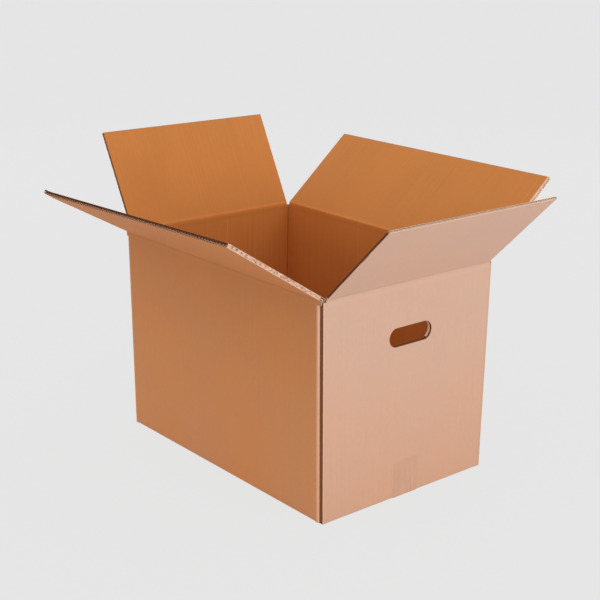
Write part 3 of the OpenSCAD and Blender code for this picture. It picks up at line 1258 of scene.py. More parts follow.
@dataclass
class BoxShell:
    """The standing part of the box: walls, corners, glued tab and taped base."""

    sizes: BoxFrame
    trees: PaperTrees
    finishes: list[bpy.types.Material]
    hole: HandHole = field(default_factory=HandHole)
    base: BaseFolds = field(default_factory=BaseFolds)
    joint: GluedCorner = field(default_factory=GluedCorner)
    corner: FoldedCorner = field(default_factory=FoldedCorner)
    lining: HoleLining = field(default_factory=HoleLining)
    fold_reach: float = 10 * MM
    front_draw: float = 5.2 * MM
    back_draw: float = 2.9 * MM
    post_drop: float = 3 * MM
    thin_drop: float = 9.6 * MM
    # Painted shade from the front flap on the front panel; how much warmer the ends turn towards the foot;
    # and how much painted warm shade the long sides lose there, for painted light bounced from the floor
    front_shade: float = 2.0
    end_warmth: float = 0.3
    painted_floor_bounce: float = 0.12

    def _panel(self, side: Side, **changes: object) -> BoardPanel:
        """Sets up the panel of a side, between its folds.

        Args:
            side: The side.
            changes: Fields that differ from those of the plain panel.

        Returns:
            The panel.
        """
        hinge = self.sizes.hinges[side]
        floor = self.base.long_floor if side.is_long else self.base.end_floor
        values = {
            "low_side": -hinge.run / 2, "high_side": hinge.run / 2, "low_end": floor + self.base.reach,
            "high_end": hinge.pivot.z - self.fold_reach, "place": self.sizes.wall(side),
            "shift": self.sheet_shift(side) - Vector((0, hinge.pivot.z))}
        if not side.is_long:
            values |= {"hole": self.hole, "hole_level": hinge.pivot.z - self.hole.drop}
        return BoardPanel(**(values | changes))

    @staticmethod
    def sheet_shift(side: Side) -> Vector:
        """Place of the middle of a side's score on the flat sheet."""
        spread = 0.45
        return Vector((spread * list(Side).index(side), 0))

    @property
    def glued_fold(self) -> float:
        """Where the front panel starts to bend into the glued tab."""
        return self.sizes.half_length - BOARD.thickness + self.joint.bed - self.joint.fold_radius

    @property
    def post_top(self) -> float:
        """Height of the corners between the slots."""
        return self.sizes.hinges[Side.RIGHT].pivot.z - self.post_drop

    @property
    def post_base(self) -> float:
        """Height of the bottom of the corners."""
        return self.base.heel_rise + self.base.gap

    def drawn_in(self, points: np.ndarray) -> np.ndarray:
        """Draws the long walls in towards their foot, which the taped base holds closer than the top.

        Args:
            points: Places on upright walls.

        Returns:
            Their places on the drawn-in walls.
        """
        top = self.sizes.hinges[Side.RIGHT].pivot.z - self.fold_reach
        draw = np.where(points[:, 1] < 0, self.front_draw, self.back_draw)
        drawn = points.copy()
        drawn[:, 1] *= 1 - np.clip(1 - points[:, 2] / top, 0, 1) * draw / self.sizes.half_width
        return drawn

    def finish_draft(self, draft: MeshDraft, name: str) -> bpy.types.Object:
        """Paints the front flap's shade on the front panel, shifts the warm tone with height, draws the
        walls in and makes the piece.

        Args:
            draft: The faces of the piece, still upright.
            name: Name of the piece.

        Returns:
            The piece.
        """
        top = self.sizes.hinges[Side.FRONT].pivot.z - self.fold_reach
        for points, warmth, crease in zip(draft.points, draft.marks["warmth"], draft.marks["crease"]):
            rise = np.clip(points[:, 2] / top, 0, 1)
            is_front = points[:, 1] < BOARD.thickness / 2 - self.sizes.half_width
            # Painted shade from the front flap: the front panel's outer face darkens towards its top
            crease += self.front_shade * rise ** 2 * warmth * is_front
            # Towards the foot the ends turn warmer, and the long sides lose some painted warm shade for
            # painted light bounced from the floor
            warmth += (1 - rise) * (self.end_warmth * (1 - warmth) - self.painted_floor_bounce * warmth)
        return draft.reshape(self.drawn_in).build(name, self.finishes)

    def build_walls(self) -> bpy.types.Object:
        """Makes the four wall panels, with the open cut edge at the glued corner.

        Returns:
            The panels, as one piece.
        """
        draft = MeshDraft()
        right = self.sizes.hinges[Side.RIGHT]
        edge = self.sizes.half_width - self.joint.edge_set
        panels = [
            (Side.BACK, {}), (Side.LEFT, {}), (Side.RIGHT, {}),
            (Side.FRONT, {"low_side": -self.glued_fold}),
            # The right panel's cut edge at the glued corner: its dark tone is partly the flutes' own brown
            # and partly painted shade in the crevice by the fold, and its glint is a painted highlight on
            # the liner's edge
            (Side.RIGHT, {"low_side": right.run / 2, "high_side": edge, "low_end": self.post_base,
                          "high_end": self.post_top, "hole": None,
                          "torn_high": TornSide(swing=0.3 * MM, curl=0.1, fibres=40, tone=0.2, glint=1.3)})]
        for side, changes in panels:
            draft.warm = side.warmth
            draft.worn = FULL_WEAR if side == Side.LEFT else USUAL_WEAR
            self._panel(side, **changes).build(draft, self.trees, self.finishes[Paper.OUTER])
        draft.warm = Side.RIGHT.warmth
        self._add_hole_lining(draft, Side.RIGHT)
        return self.finish_draft(draft, "wall_panels")

    def _add_hole_lining(self, draft: MeshDraft, side: Side, stations: int = 40, across: int = 7) -> None:
        """Adds the torn inner paper that lines one end of a hand hole.

        Args:
            draft: Where the faces go.
            side: The end panel.
            stations: Number of rows round the end of the hole.
            across: Number of points through the board.
        """
        hole, panel = self.hole, self._panel(side)
        lining = self.lining
        turn = np.linspace(-lining.half_turn, lining.half_turn, stations)[:, None] + math.pi
        share = np.linspace(0, 1, across)[None, :]
        ragged = wander_grid(NoiseSeed.HOLE_LINING, turn * lining.turn_rate, share * lining.depth_rate)
        depth = share * (lining.depth + lining.swing * ragged[:, -1:])
        middle = (hole.height - hole.width) / 2
        shells = []
        for lift in (lining.lift + lining.paper, lining.lift):
            radius = hole.height / 2 - lift - lining.swing * lining.flutter * ragged * share
            spot = np.broadcast_arrays(middle + radius * np.cos(turn), depth,
                                       panel.hole_level + radius * np.sin(turn))
            shells.append(placed(panel.place, np.stack(spot, 2)))
        sheet = np.stack(np.broadcast_arrays(turn * hole.height / 2, depth), 2)
        draft.add_shell(*shells, sheet, (Paper.CUT,) * 3, ply=np.zeros((stations, across)))

    def build_corners(self) -> bpy.types.Object:
        """Makes the three folded corners and the fold and tab of the glued one.

        Returns:
            The corners, as one piece.
        """
        draft = MeshDraft()
        for along, across in ((-1, -1), (-1, 1), (1, 1)):
            self._add_corner(draft, along, across)
        draft.warm = Side.FRONT.warmth
        self._add_glued_fold(draft)
        return self.finish_draft(draft, "corner_folds")

    def _add_corner(self, draft: MeshDraft, along: int, across: int, arc: int = 9,
                    stations: int = 40) -> None:
        """Adds one folded corner, from the end of a flap round to the next.

        Args:
            draft: Where the faces go.
            along: -1 or 1, the end of the box.
            across: -1 or 1, the long side.
            arc: Number of points round the corner.
            stations: Number of rows up the corner.
        """
        length, width = self.sizes.half_length, self.sizes.half_width
        board, corner = BOARD.thickness, self.corner
        start = self.sizes.hinges[Side.BACK].run / 2
        stop = self.sizes.hinges[Side.RIGHT].run / 2
        turn = np.linspace(math.pi / 2, 0, arc)
        outer = bend_points((start, width), (length - board, width - board), turn, board, (length, stop), 1)
        inner = bend_points((start, width - board), (length - board, width - board), turn, 0,
                            (length - board, stop), 1)
        half = (len(inner) - 1) / 2
        share = np.abs(np.arange(len(inner)) - half)[:, None] / half
        ends = np.where(np.arange(len(inner))[:, None] < half, inner[0], inner[-1])
        inner = inner[len(inner) // 2] * (1 - share) + ends * share
        rows = np.linspace(self.post_base, self.post_top, stations)
        outline = np.array((along, across))
        seed = NoiseSeed.CORNER + along + 2 * across
        faces = []
        for line, dent in ((outer, corner.dent), (inner, 0.0)):
            shell = np.zeros((stations, len(line), 3))
            for i, row in enumerate(rows):
                shell[i, :, :2] = (line - dent * max(0, wander(seed, row * corner.dent_rate))) * outline
                shell[i, :, 2] = row
            faces.append(shell)
        place = distances(outer)[None, :] + seed * corner.sheet_step
        sheet = np.stack(np.broadcast_arrays(place, rows[:, None]), 2)
        # Round the corner the long side's painted warm shade gives way to the end's pale tone
        warmth = np.broadcast_to(1 - distances(outer) / distances(outer)[-1], sheet.shape[:2])
        # Inside, painted shade in the corner beside a strip of painted highlight
        crease = np.zeros((2, *sheet.shape[:2]))
        middle = int(half)
        crease[1, :, middle - 1:middle + 2] = corner.corner_shade
        crease[1, :, middle + 3:-1] = corner.corner_highlight
        draft.add_shell(*faces, sheet, (Paper.OUTER, Paper.INNER, Paper.CUT), warmth=warmth, crease=crease)

    def _add_glued_fold(self, draft: MeshDraft, arc: int = 13, stations: int = 60,
                        columns: int = 14) -> None:
        """Adds the fold from the front panel into the tab behind the right end panel.

        Args:
            draft: Where the faces go.
            arc: Number of points round the fold.
            stations: Number of rows up the fold.
            columns: Number of points along the tab.
        """
        joint, width = self.joint, self.sizes.half_width
        paper, radius = joint.tab_paper, joint.fold_radius
        face = self.sizes.half_length - BOARD.thickness - joint.slack + joint.bed
        root = BOARD.thickness - width
        turn = np.linspace(-math.pi / 2, 0, arc)
        bend = np.stack([face - radius * (1 - np.cos(turn)), radius * (1 + np.sin(turn)) - width], 1)
        bend_inside = np.stack([np.linspace(face - radius, face - paper, arc), np.full(arc, root)], 1)
        tab_y = np.linspace(radius - width, root + joint.tab_length, columns)
        tab = np.stack([np.full(columns, face), tab_y], 1)
        tab_inside = tab - np.array((paper, 0))
        slant = (tab_y - tab_y[0]) * math.tan(joint.tab_slant)
        plain_top = self.sizes.hinges[Side.RIGHT].pivot.z - self.thin_drop
        spans = ((np.full(arc, self.post_base), np.full(arc, self.post_top)),
                 (self.base.end_floor + self.base.gap + slant, plain_top - slant))
        lines = ((bend, bend_inside, joint.dent), (tab, tab_inside, 0.0))
        share = np.linspace(0, 1, stations)[:, None]
        # Round the arc the front's painted warm shade gives way to a pale painted highlight, where the fold
        # turns towards the key lamp
        highlighted = np.clip(np.linspace(0, 1, arc) / joint.highlight_share, 0, 1)
        for (low, high), (outside, inside, dent) in zip(spans, lines):
            height = low + (high - low) * share
            shells = []
            for line, depth in ((outside, dent), (inside, 0.0)):
                plan = np.repeat(line[None], stations, axis=0)
                dents = [depth * wander(NoiseSeed.GLUED_FOLD, row * joint.dent_rate) for row in height[:, 0]]
                plan[:, 1:-1, 1] += np.array(dents)[:, None]
                shells.append(np.concatenate([plan, height[..., None]], 2))
            place = distances(outside)[None, :] + joint.sheet_start
            sheet = np.stack(np.broadcast_arrays(place, height), 2)
            pale = np.broadcast_to(highlighted if dent else np.zeros(columns), sheet.shape[:2])
            draft.add_shell(*shells, sheet, (Paper.OUTER, Paper.INNER, Paper.CUT), warmth=1 - pale,
                            crease=joint.highlight_mark * pale)

    def build_base(self) -> bpy.types.Object:
        """Makes the folds under the walls and the four base flaps.

        Returns:
            The base, as one piece.
        """
        draft = MeshDraft()
        for side in Side:
            draft.warm = side.warmth
            self._add_base_fold(draft, side)
        draft.warm = MIXED_WARMTH
        for panel in self._base_flaps():
            panel.build(draft, self.trees, self.finishes[Paper.OUTER])
        return self.finish_draft(draft, "base_flaps")

    def _base_flaps(self) -> list[BoardPanel]:
        """Sets up the base flaps.

        Returns:
            The two long flaps, and the two end ones that lie on them.
        """
        first_sheet = 4
        base, sizes = self.base, self.sizes
        long_hinge, end_hinge = sizes.hinges[Side.BACK], sizes.hinges[Side.RIGHT]
        long_top = base.long_floor + base.lift
        across_box = Matrix(((1, 0, 0, 0), (0, 0, 1, 0), (0, -1, 0, long_top), (0, 0, 0, 1)))
        along_box = Matrix(((0, 0, -1, 0), (1, 0, 0, 0), (0, -1, 0, base.end_floor), (0, 0, 0, 1)))
        long_root = sizes.half_width - BOARD.thickness - base.reach
        end_root = sizes.half_length - BOARD.thickness - base.reach
        end_tip = sizes.half_length - end_hinge.depth
        spans = ((-long_root, -base.gap, across_box, long_hinge),
                 (base.gap, long_root, across_box, long_hinge),
                 (-end_root, -end_tip, along_box, end_hinge),
                 (end_tip, end_root, along_box, end_hinge))
        return [BoardPanel(-hinge.run / 2, hinge.run / 2, low, high, place, shift=Vector((number, 0)))
                for number, (low, high, place, hinge) in enumerate(spans, first_sheet)]

    def _add_base_fold(self, draft: MeshDraft, side: Side, columns: int = 61, arc: int = 11,
                       straight: int = 3) -> None:
        """Adds the fold from one wall into its base flap.

        Args:
            draft: Where the faces go.
            side: The wall's side.
            columns: Number of stations along the wall.
            arc: Number of points round the fold.
            straight: Number of points before the fold, and after it.
        """
        base, board = self.base, BOARD.thickness
        if side.is_long:
            floor, lift, radius = base.long_floor, base.lift, base.fold_radius
            turn = np.linspace(0, -math.pi / 2, arc)
            outer = bend_points((board, floor + base.reach), (board - radius, radius + lift), turn, radius,
                                (-base.reach, lift), straight)
        else:
            floor, lift = base.end_floor, 0.0
            under = floor - board
            corners = np.array([(board, floor + base.reach), (board, base.heel_rise + base.heel_bevel),
                                (board - base.heel_bevel, base.heel_rise), (board - base.heel_run, under),
                                (-base.reach, under)])
            share = np.linspace(0, len(corners) - 1, arc + 2 * straight)
            outer = np.stack([np.interp(share, range(len(corners)), corners[:, k]) for k in (0, 1)], 1)
        bend = np.array([(0, floor + base.reach), (0, floor + lift), (-base.reach, floor + lift)])
        share = np.linspace(0, 2, len(outer))
        inner = np.stack([np.interp(share, range(3), bend[:, k]) for k in (0, 1)], 1)
        hinge = self.sizes.hinges[side]
        start = -self.glued_fold if side == Side.FRONT else -hinge.run / 2
        run = np.linspace(start, hinge.run / 2, columns)
        shells = [np.array([np.insert(line, 0, across, axis=1) for across in run])
                  for line in (outer, inner)]
        place = self.sizes.wall(side)
        sheet = np.stack(np.broadcast_arrays(run[:, None], -distances(outer)[None, :]), 2)
        sheet = sheet + np.array(self.sheet_shift(side)) + np.array((0, floor + base.reach - hinge.pivot.z))
        draft.add_shell(placed(place, shells[0]), placed(place, shells[1]), sheet,
                        (Paper.OUTER, Paper.INNER, Paper.CUT))


@dataclass
class TopFlap:
    """One top flap of open fluted board, with the fold that joins it to its wall."""

    hinge: Hinge
    trees: PaperTrees
    finishes: list[bpy.types.Material]
    bent: FlapSet
    slot_drop: float
    low_side: TornSide = field(default_factory=TornSide)
    high_side: TornSide = field(default_factory=TornSide)
    rim: FrayedRim = field(default_factory=FrayedRim)
    round_start: float = 0.0
    round_radius: float = 0.0
    # Strength of the painted shade that the flap throws on its wall below the score
    shade: float = 0.0

    @property
    def fold(self) -> TopFold:
        """The fold along the flap's score."""
        return TopFold(self.hinge, self.bent, self.slot_drop, self.round_start, self.round_radius,
                       self.shade)

    def build_board(self) -> bpy.types.Object:
        """Makes the flap's board, from its fold to its free edge.

        Returns:
            The board.
        """
        hinge = self.hinge
        lean_out = Matrix.Rotation(-hinge.tilt, 4, "X")
        to_pivot = Matrix.Translation((0, -hinge.inner_reach, 0))
        panel = BoardPanel(
            -hinge.run / 2, hinge.run / 2, self.fold.flap_reach, hinge.depth,
            hinge.upright @ lean_out @ to_pivot,
            shift=BoxShell.sheet_shift(hinge.side), torn_low=self.low_side, torn_high=self.high_side,
            bent=self.bent, pivot_level=hinge.inner_reach, rim=self.rim)
        draft = MeshDraft()
        draft.warm = hinge.side.warmth
        panel.build(draft, self.trees, self.finishes[Paper.OUTER])
        return draft.build(f"{hinge.side.value}_flap_board", self.finishes)

    def build_fold(self) -> bpy.types.Object:
        """Makes the folded strip between the flap and its wall.

        Returns:
            The strip.
        """
        draft = MeshDraft()
        draft.warm = self.hinge.side.warmth
        self.fold.build(draft, BoxShell.sheet_shift(self.hinge.side))
        return draft.build(f"{self.hinge.side.value}_flap_fold", self.finishes)

    def attach(self, board: bpy.types.Object, fold: bpy.types.Object) -> None:
        """Sets the flap's board on its body and hides the frame's flap; the fold is baked where it was
        built, not bent.

        Args:
            board: The flap's board.
            fold: The folded strip.
        """
        name = self.hinge.side.value
        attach(board, name)
        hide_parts(f"{name}_flap")
        start, end = self.fold.blend_ends()
        tuple(start)
        tuple(end)
        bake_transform(fold)


@dataclass
class SeamTape:
    """Strip of clear tape under the base, turned up on both ends.

    Its ends are torn and frayed and a little slanted, it puckers on the walls, and its sides waver. Rates
    are turns of the noise per metre.
    """

    sizes: BoxFrame
    finish: bpy.types.Material
    width: float = 45 * MM
    rise: float = 55 * MM
    paper: float = 0.1 * MM
    bend: float = 1 * MM
    stick: float = 0.06 * MM
    tear: float = 2.2 * MM
    tear_rate: float = 95
    fray: float = 1.1 * MM
    fray_rate: float = 330
    slant: float = 1.4 * MM
    pucker: float = 0.22 * MM
    pucker_rates: tuple[float, float] = (210, 9)
    side_swing: float = 0.35 * MM
    side_rate: float = 160
    slack_top: float = 1.15

    def build(self, columns: int = 46) -> bpy.types.Object:
        """Makes the tape as one sheet with wrinkles and torn ends.

        Args:
            columns: Number of points across the tape.

        Returns:
            The tape.
        """
        path = self._path()
        across_rate, up_rate = self.pucker_rates
        across = np.linspace(-self.width / 2, self.width / 2, columns)
        outer = np.zeros((len(path), columns, 3))
        inner = np.zeros_like(outer)
        for j, side in enumerate(across):
            for i, (x, z, out_x, out_z) in enumerate(path):
                up_end = max(0.0, z / self.rise)
                end = math.copysign(1, x)
                torn = self.tear * wander(NoiseSeed.TAPE_END + end, side * self.tear_rate)
                torn += self.fray * wander(NoiseSeed.TAPE_END_FINE + end, side * self.fray_rate)
                height = z + (torn + self.slant * side / self.width) * up_end ** 3
                fold = abs(wander(NoiseSeed.TAPE_WRINKLE + end, side * across_rate, z * up_rate))
                lift = self.stick
                if z > self.bend:
                    lift += self.pucker * fold * (1 - up_end)
                edge = 0.0
                if j in (0, columns - 1):
                    turns = z * self.side_rate + x * self.side_rate
                    edge = self.side_swing * wander(NoiseSeed.TAPE_SIDE, turns)
                outer[i, j] = (x + out_x * (self.paper + lift), side + edge, height)
                inner[i, j] = (x + out_x * lift, side + edge, height)
                inner[i, j, 2] -= out_z * self.paper
        sheet = np.stack([outer[..., 1], outer[..., 2] + outer[..., 0]], 2)
        draft = MeshDraft()
        slack = np.clip(self.slack_top - outer[..., 2] / self.rise, 0, 1)
        draft.add_shell(outer, inner, sheet, (0, 0, 0), crease=slack)
        return draft.build("seam_tape", [self.finish])

    def _path(self, rows: int = 40, arc: int = 6, base_rows: int = 30) -> list[tuple[float, ...]]:
        """Follows the tape from its right end to its left one.

        Args:
            rows: Number of points up each end of the box.
            arc: Number of points round each bend.
            base_rows: Number of points under the base.

        Returns:
            Along and height of each point, with the way out of the box there.
        """
        half = self.sizes.half_length
        points = []
        for z in np.linspace(self.rise, self.bend, rows):
            points.append((half, z, 1.0, 0.0))
        for angle in np.linspace(0, math.pi / 2, arc)[1:]:
            points.append((half - self.bend * (1 - math.cos(angle)), self.bend * (1 - math.sin(angle)),
                           math.cos(angle), -math.sin(angle)))
        mirrored = [(-x, z, -out_x, out_z) for x, z, out_x, out_z in reversed(points)]
        under = np.linspace(half - self.bend, self.bend - half, base_rows)[1:-1]
        return points + [(x, 0.0, 0.0, -1.0) for x in under] + mirrored


def srgb(red: int, green: int, blue: int) -> tuple[float, float, float, float]:
    """Turns a screen colour into a linear one.

    Args:
        red: Red, from 0 to 255.
        green: Green, from 0 to 255.
        blue: Blue, from 0 to 255.

    Returns:
        The linear colour, with an alpha of 1.
    """
    parts = [channel / 255 for channel in (red, green, blue)]
    linear = [p / 12.92 if p <= 0.04045 else ((p + 0.055) / 1.055) ** 2.4 for p in parts]
    return (*linear, 1.0)


def kraft_group() -> bpy.types.NodeTree:
    """Builds the shared look of brown paper.

    Clouds and mottling vary its tone, streaks follow the flutes, and ribs show where the flutes touch it.

    Returns:
        A group that gives the colour, the roughness and the height of the surface.
    """
    streak_patch, streak_level = 0.9, 0.8
    rib_patch, rib_level = 1.6, 0.3
    pale_limit, dark_limit = 0.36, 0.42
    fibre_share = 0.8
    middle_liner, outer_liner = 0.545, 1.0
    liner_reach, flute_start = 0.05, 0.1
    cloud_warmth, mottle_roughness = 0.12, 0.06
    fibre_height, mottle_height = 0.6, 0.4
    tree = bpy.data.node_groups.new("kraft_paper", "ShaderNodeTree")
    declare(tree, {"Base": "Color", "Warm": "Color", "Cloud": "Float", "Mottle": "Float", "Streak": "Float",
                   "Rib Length": "Float", "Rib": "Float", "Crease": "Float", "Tint": "Float",
                   "Groove": "Float", "Line": "Float", "Roughness": "Float"},
            {"Color": "Color", "Roughness": "Float", "Height": "Float"})
    sketch = NodeSketch(tree)
    maths = sketch.math
    given = tree.nodes.new("NodeGroupInput").outputs
    sheet = sketch.add("ShaderNodeUVMap", uv_map="sheet").outputs[0]
    crease, tint, ply, worn = (sketch.add("ShaderNodeAttribute", attribute_name=mark).outputs["Fac"]
                               for mark in MARKS)

    def cloud(scale: tuple[float, float], detail: float, seed: float) -> bpy.types.NodeSocket:
        """Adds noise to the paper.

        Args:
            scale: Turns per metre across the flutes and along them.
            detail: Number of finer layers.
            seed: Where it starts on the sheet.

        Returns:
            A value from about -1 to 1.
        """
        spot = sketch.add("ShaderNodeMapping", {"Vector": sheet, "Location": (seed, seed, seed),
                                                "Scale": (scale[0], scale[1], 1)})
        value = sketch.add("ShaderNodeTexNoise", {
            "Vector": spot.outputs[0], "Scale": 1.0, "Detail": detail}, noise_dimensions="2D")
        return maths("MULTIPLY_ADD", value.outputs[0], 2, -1)

    wide = cloud((9, 7), detail=2, seed=3)
    mottle = cloud((150, 120), detail=4, seed=11)
    patch = maths("MULTIPLY_ADD", cloud((17, 5), detail=1, seed=53), streak_patch, streak_level)
    streak = maths("MULTIPLY", cloud((230, 2.2), detail=2, seed=29), patch)
    fibre = cloud((700, 2600), detail=3, seed=41)
    lines = cloud((150, 0.9), detail=1, seed=83)
    pale_line = maths("MAXIMUM", maths("SUBTRACT", lines, pale_limit), 0)
    dark_line = maths("MAXIMUM", maths("SUBTRACT", maths("MULTIPLY", lines, -1), dark_limit), 0)
    across = sketch.add("ShaderNodeSeparateXYZ", {0: sheet}).outputs[0]
    wave = maths("SINE", maths("DIVIDE", maths("MULTIPLY", across, math.tau), given["Rib Length"]))
    patch = maths("MULTIPLY_ADD", cloud((23, 3), detail=2, seed=71), rib_patch, rib_level)
    rib = maths("MULTIPLY", wave, maths("MAXIMUM", patch, 0))
    parts = ((wide, given["Cloud"]), (mottle, given["Mottle"]), (streak, given["Streak"]),
             (rib, given["Rib"]), (fibre, maths("MULTIPLY", given["Mottle"], fibre_share)),
             (maths("SUBTRACT", pale_line, dark_line), maths("MULTIPLY", given["Line"], worn)))
    tone: object = 1.0
    for part, strength in parts:
        tone = maths("ADD", tone, maths("MULTIPLY", part, strength))
    # Painted shade and highlights from the crease mark, along scores, in corners and under the front flap
    tone = maths("ADD", tone, maths("MULTIPLY", crease, given["Crease"]))

    # Across a cut face the liners are pale, with the flutes between them darker: the fluted paper's own
    # brown with painted shade in its hollows
    nearest: object = maths("ABSOLUTE", ply)
    for liner in (middle_liner, outer_liner):
        nearest = maths("MINIMUM", nearest, maths("ABSOLUTE", maths("SUBTRACT", ply, liner)))
    between = sketch.add("ShaderNodeMapRange", {
        "Value": nearest, "From Min": liner_reach, "From Max": flute_start})
    groove = maths("MULTIPLY", between.outputs[0], given["Groove"])
    # The warm tone: painted warm shade on the long sides, and the dark flutes of cut faces
    tinted = maths("ADD", maths("MULTIPLY", tint, given["Tint"]), groove)
    warmth = maths("ADD", tinted, maths("MULTIPLY", wide, cloud_warmth))
    mixed = sketch.add("ShaderNodeMix", {"Factor": warmth, 6: given["Base"], 7: given["Warm"]},
                       data_type="RGBA")
    shade = sketch.add("ShaderNodeVectorMath", {0: mixed.outputs[2], "Scale": tone}, operation="SCALE")
    rough = maths("ADD", given["Roughness"], maths("MULTIPLY", mottle, mottle_roughness))
    height = maths("ADD", maths("MULTIPLY", fibre, fibre_height), maths("MULTIPLY", mottle, mottle_height))
    sketch.add("NodeGroupOutput", {"Color": shade.outputs[0], "Roughness": rough, "Height": height})
    return tree


@dataclass(frozen=True)
class KraftFinish:
    """Finish of one paper of the board."""

    name: str
    base: tuple[float, float, float, float]
    warm: tuple[float, float, float, float]
    cloud: float = 0.04
    mottle: float = 0.03
    streak: float = 0.02
    rib_length: float = BOARD.fine_length
    rib: float = 0.0
    crease: float = 0.0
    tint: float = 0.0
    groove: float = 0.0
    line: float = 0.0
    roughness: float = 0.72
    specular: float = 0.35
    bump: float = 0.12
    relief: float = 0.2 * MM

    def material(self, group: bpy.types.NodeTree) -> bpy.types.Material:
        """Makes the material.

        Args:
            group: The shared look of brown paper.

        Returns:
            The material.
        """
        made = bpy.data.materials.new(self.name)
        made.use_nodes = True
        sketch = NodeSketch(made.node_tree)
        shader = made.node_tree.nodes["Principled BSDF"]
        paper = sketch.add("ShaderNodeGroup", node_tree=group)
        values = {"Base": self.base, "Warm": self.warm, "Cloud": self.cloud, "Mottle": self.mottle,
                  "Streak": self.streak, "Rib Length": self.rib_length, "Rib": self.rib,
                  "Crease": self.crease, "Tint": self.tint, "Groove": self.groove, "Line": self.line,
                  "Roughness": self.roughness}
        for name, value in values.items():
            paper.inputs[name].default_value = value
        relief = sketch.add("ShaderNodeBump", {"Height": paper.outputs["Height"], "Strength": self.bump,
                                               "Distance": self.relief})
        links = made.node_tree.links
        links.new(paper.outputs["Color"], shader.inputs["Base Color"])
        links.new(paper.outputs["Roughness"], shader.inputs["Roughness"])
        links.new(relief.outputs[0], shader.inputs["Normal"])
        shader.inputs["Specular IOR Level"].default_value = self.specular
        return made


@dataclass(frozen=True)
class TapeFinish:
    """Finish of the clear tape, with the board's tone showing through the film."""

    name: str = "clear_tape"
    tone: tuple[float, float, float, float] = srgb(208, 160, 131)
    wrinkle: float = 0.7
    crinkle_scale: tuple[float, float, float] = (240, 16, 1)
    crinkle_detail: float = 3.0
    roughness: float = 0.38
    bump: float = 0.25
    relief: float = 0.2 * MM

    def material(self) -> bpy.types.Material:
        """Makes the material, with long wrinkles that turn the film paler and darker.

        Returns:
            The material.
        """
        made = bpy.data.materials.new(self.name)
        made.use_nodes = True
        sketch = NodeSketch(made.node_tree)
        shader = made.node_tree.nodes["Principled BSDF"]
        sheet = sketch.add("ShaderNodeUVMap", uv_map="sheet").outputs[0]
        spot = sketch.add("ShaderNodeMapping", {"Vector": sheet, "Scale": self.crinkle_scale})
        crinkle = sketch.add("ShaderNodeTexNoise", {
            "Vector": spot.outputs[0], "Scale": 1.0, "Detail": self.crinkle_detail})
        slack = sketch.add("ShaderNodeAttribute", attribute_name="crease").outputs["Fac"]
        swing = sketch.math("MULTIPLY", sketch.math("SUBTRACT", crinkle.outputs[0], 0.5), slack)
        shade = sketch.math("MULTIPLY_ADD", swing, self.wrinkle, 1.0)
        tone = sketch.add("ShaderNodeVectorMath", {0: self.tone[:3], "Scale": shade}, operation="SCALE")
        relief = sketch.add("ShaderNodeBump", {"Height": crinkle.outputs[0], "Strength": self.bump,
                                               "Distance": self.relief})
        links = made.node_tree.links
        links.new(tone.outputs[0], shader.inputs["Base Color"])
        links.new(relief.outputs[0], shader.inputs["Normal"])
        shader.inputs["Roughness"].default_value = self.roughness
        return made


def board_finishes() -> list[bpy.types.Material]:
    """Makes the board's materials.

    Returns:
        One material for each paper, in the order of their slots.
    """
    group = kraft_group()
    finishes = {
        # The outer liner's warm tone is painted warm shade on the long sides; its crease strength turns
        # marks into painted shade in score valleys and under the front flap, and negative marks into painted
        # highlights
        Paper.OUTER: KraftFinish("outer_liner", srgb(214, 175, 153), srgb(210, 139, 82), cloud=0.05,
                                 rib=0.006, crease=-0.09, tint=1.0),
        # The inner liner's crease strength turns marks into painted highlights on score ridges, and negative
        # marks into painted shade in corners
        Paper.INNER: KraftFinish("inner_liner", srgb(215, 137, 66), srgb(205, 122, 48), cloud=0.08,
                                 streak=0.05, rib_length=BOARD.coarse_length, rib=0.012, crease=0.18,
                                 line=1.0),
        Paper.FLUTE: KraftFinish("fluted_paper", srgb(146, 90, 54), srgb(136, 82, 46), specular=0.2),
        # The cut edge's dark brown between the liners is the fluted paper with painted shade in its hollows
        Paper.CUT: KraftFinish("cut_edge", srgb(242, 206, 180), srgb(104, 56, 28), mottle=0.08,
                               specular=0.2, groove=0.9),
    }
    return [finishes[paper].material(group) for paper in Paper]


@dataclass(frozen=True)
class Lamp:
    """Large soft lamp aimed at the box."""

    name: str
    place: tuple[float, float, float]
    size: tuple[float, float]
    power: float
    color: tuple[float, float, float] = (1.0, 1.0, 1.0)
    target: tuple[float, float, float] = (0.0, 0.0, 0.18)

    def build(self) -> None:
        """Adds the lamp to the scene."""
        data = bpy.data.lights.new(self.name, "AREA")
        data.shape = "RECTANGLE"
        data.size, data.size_y = self.size
        data.energy = self.power
        data.color = self.color
        lamp = bpy.data.objects.new(self.name, data)
        lamp.visible_camera = False
        lamp.location = self.place
        lamp.rotation_euler = (Vector(self.target) - Vector(self.place)).to_track_quat("-Z", "Y").to_euler()
        bpy.context.scene.collection.objects.link(lamp)


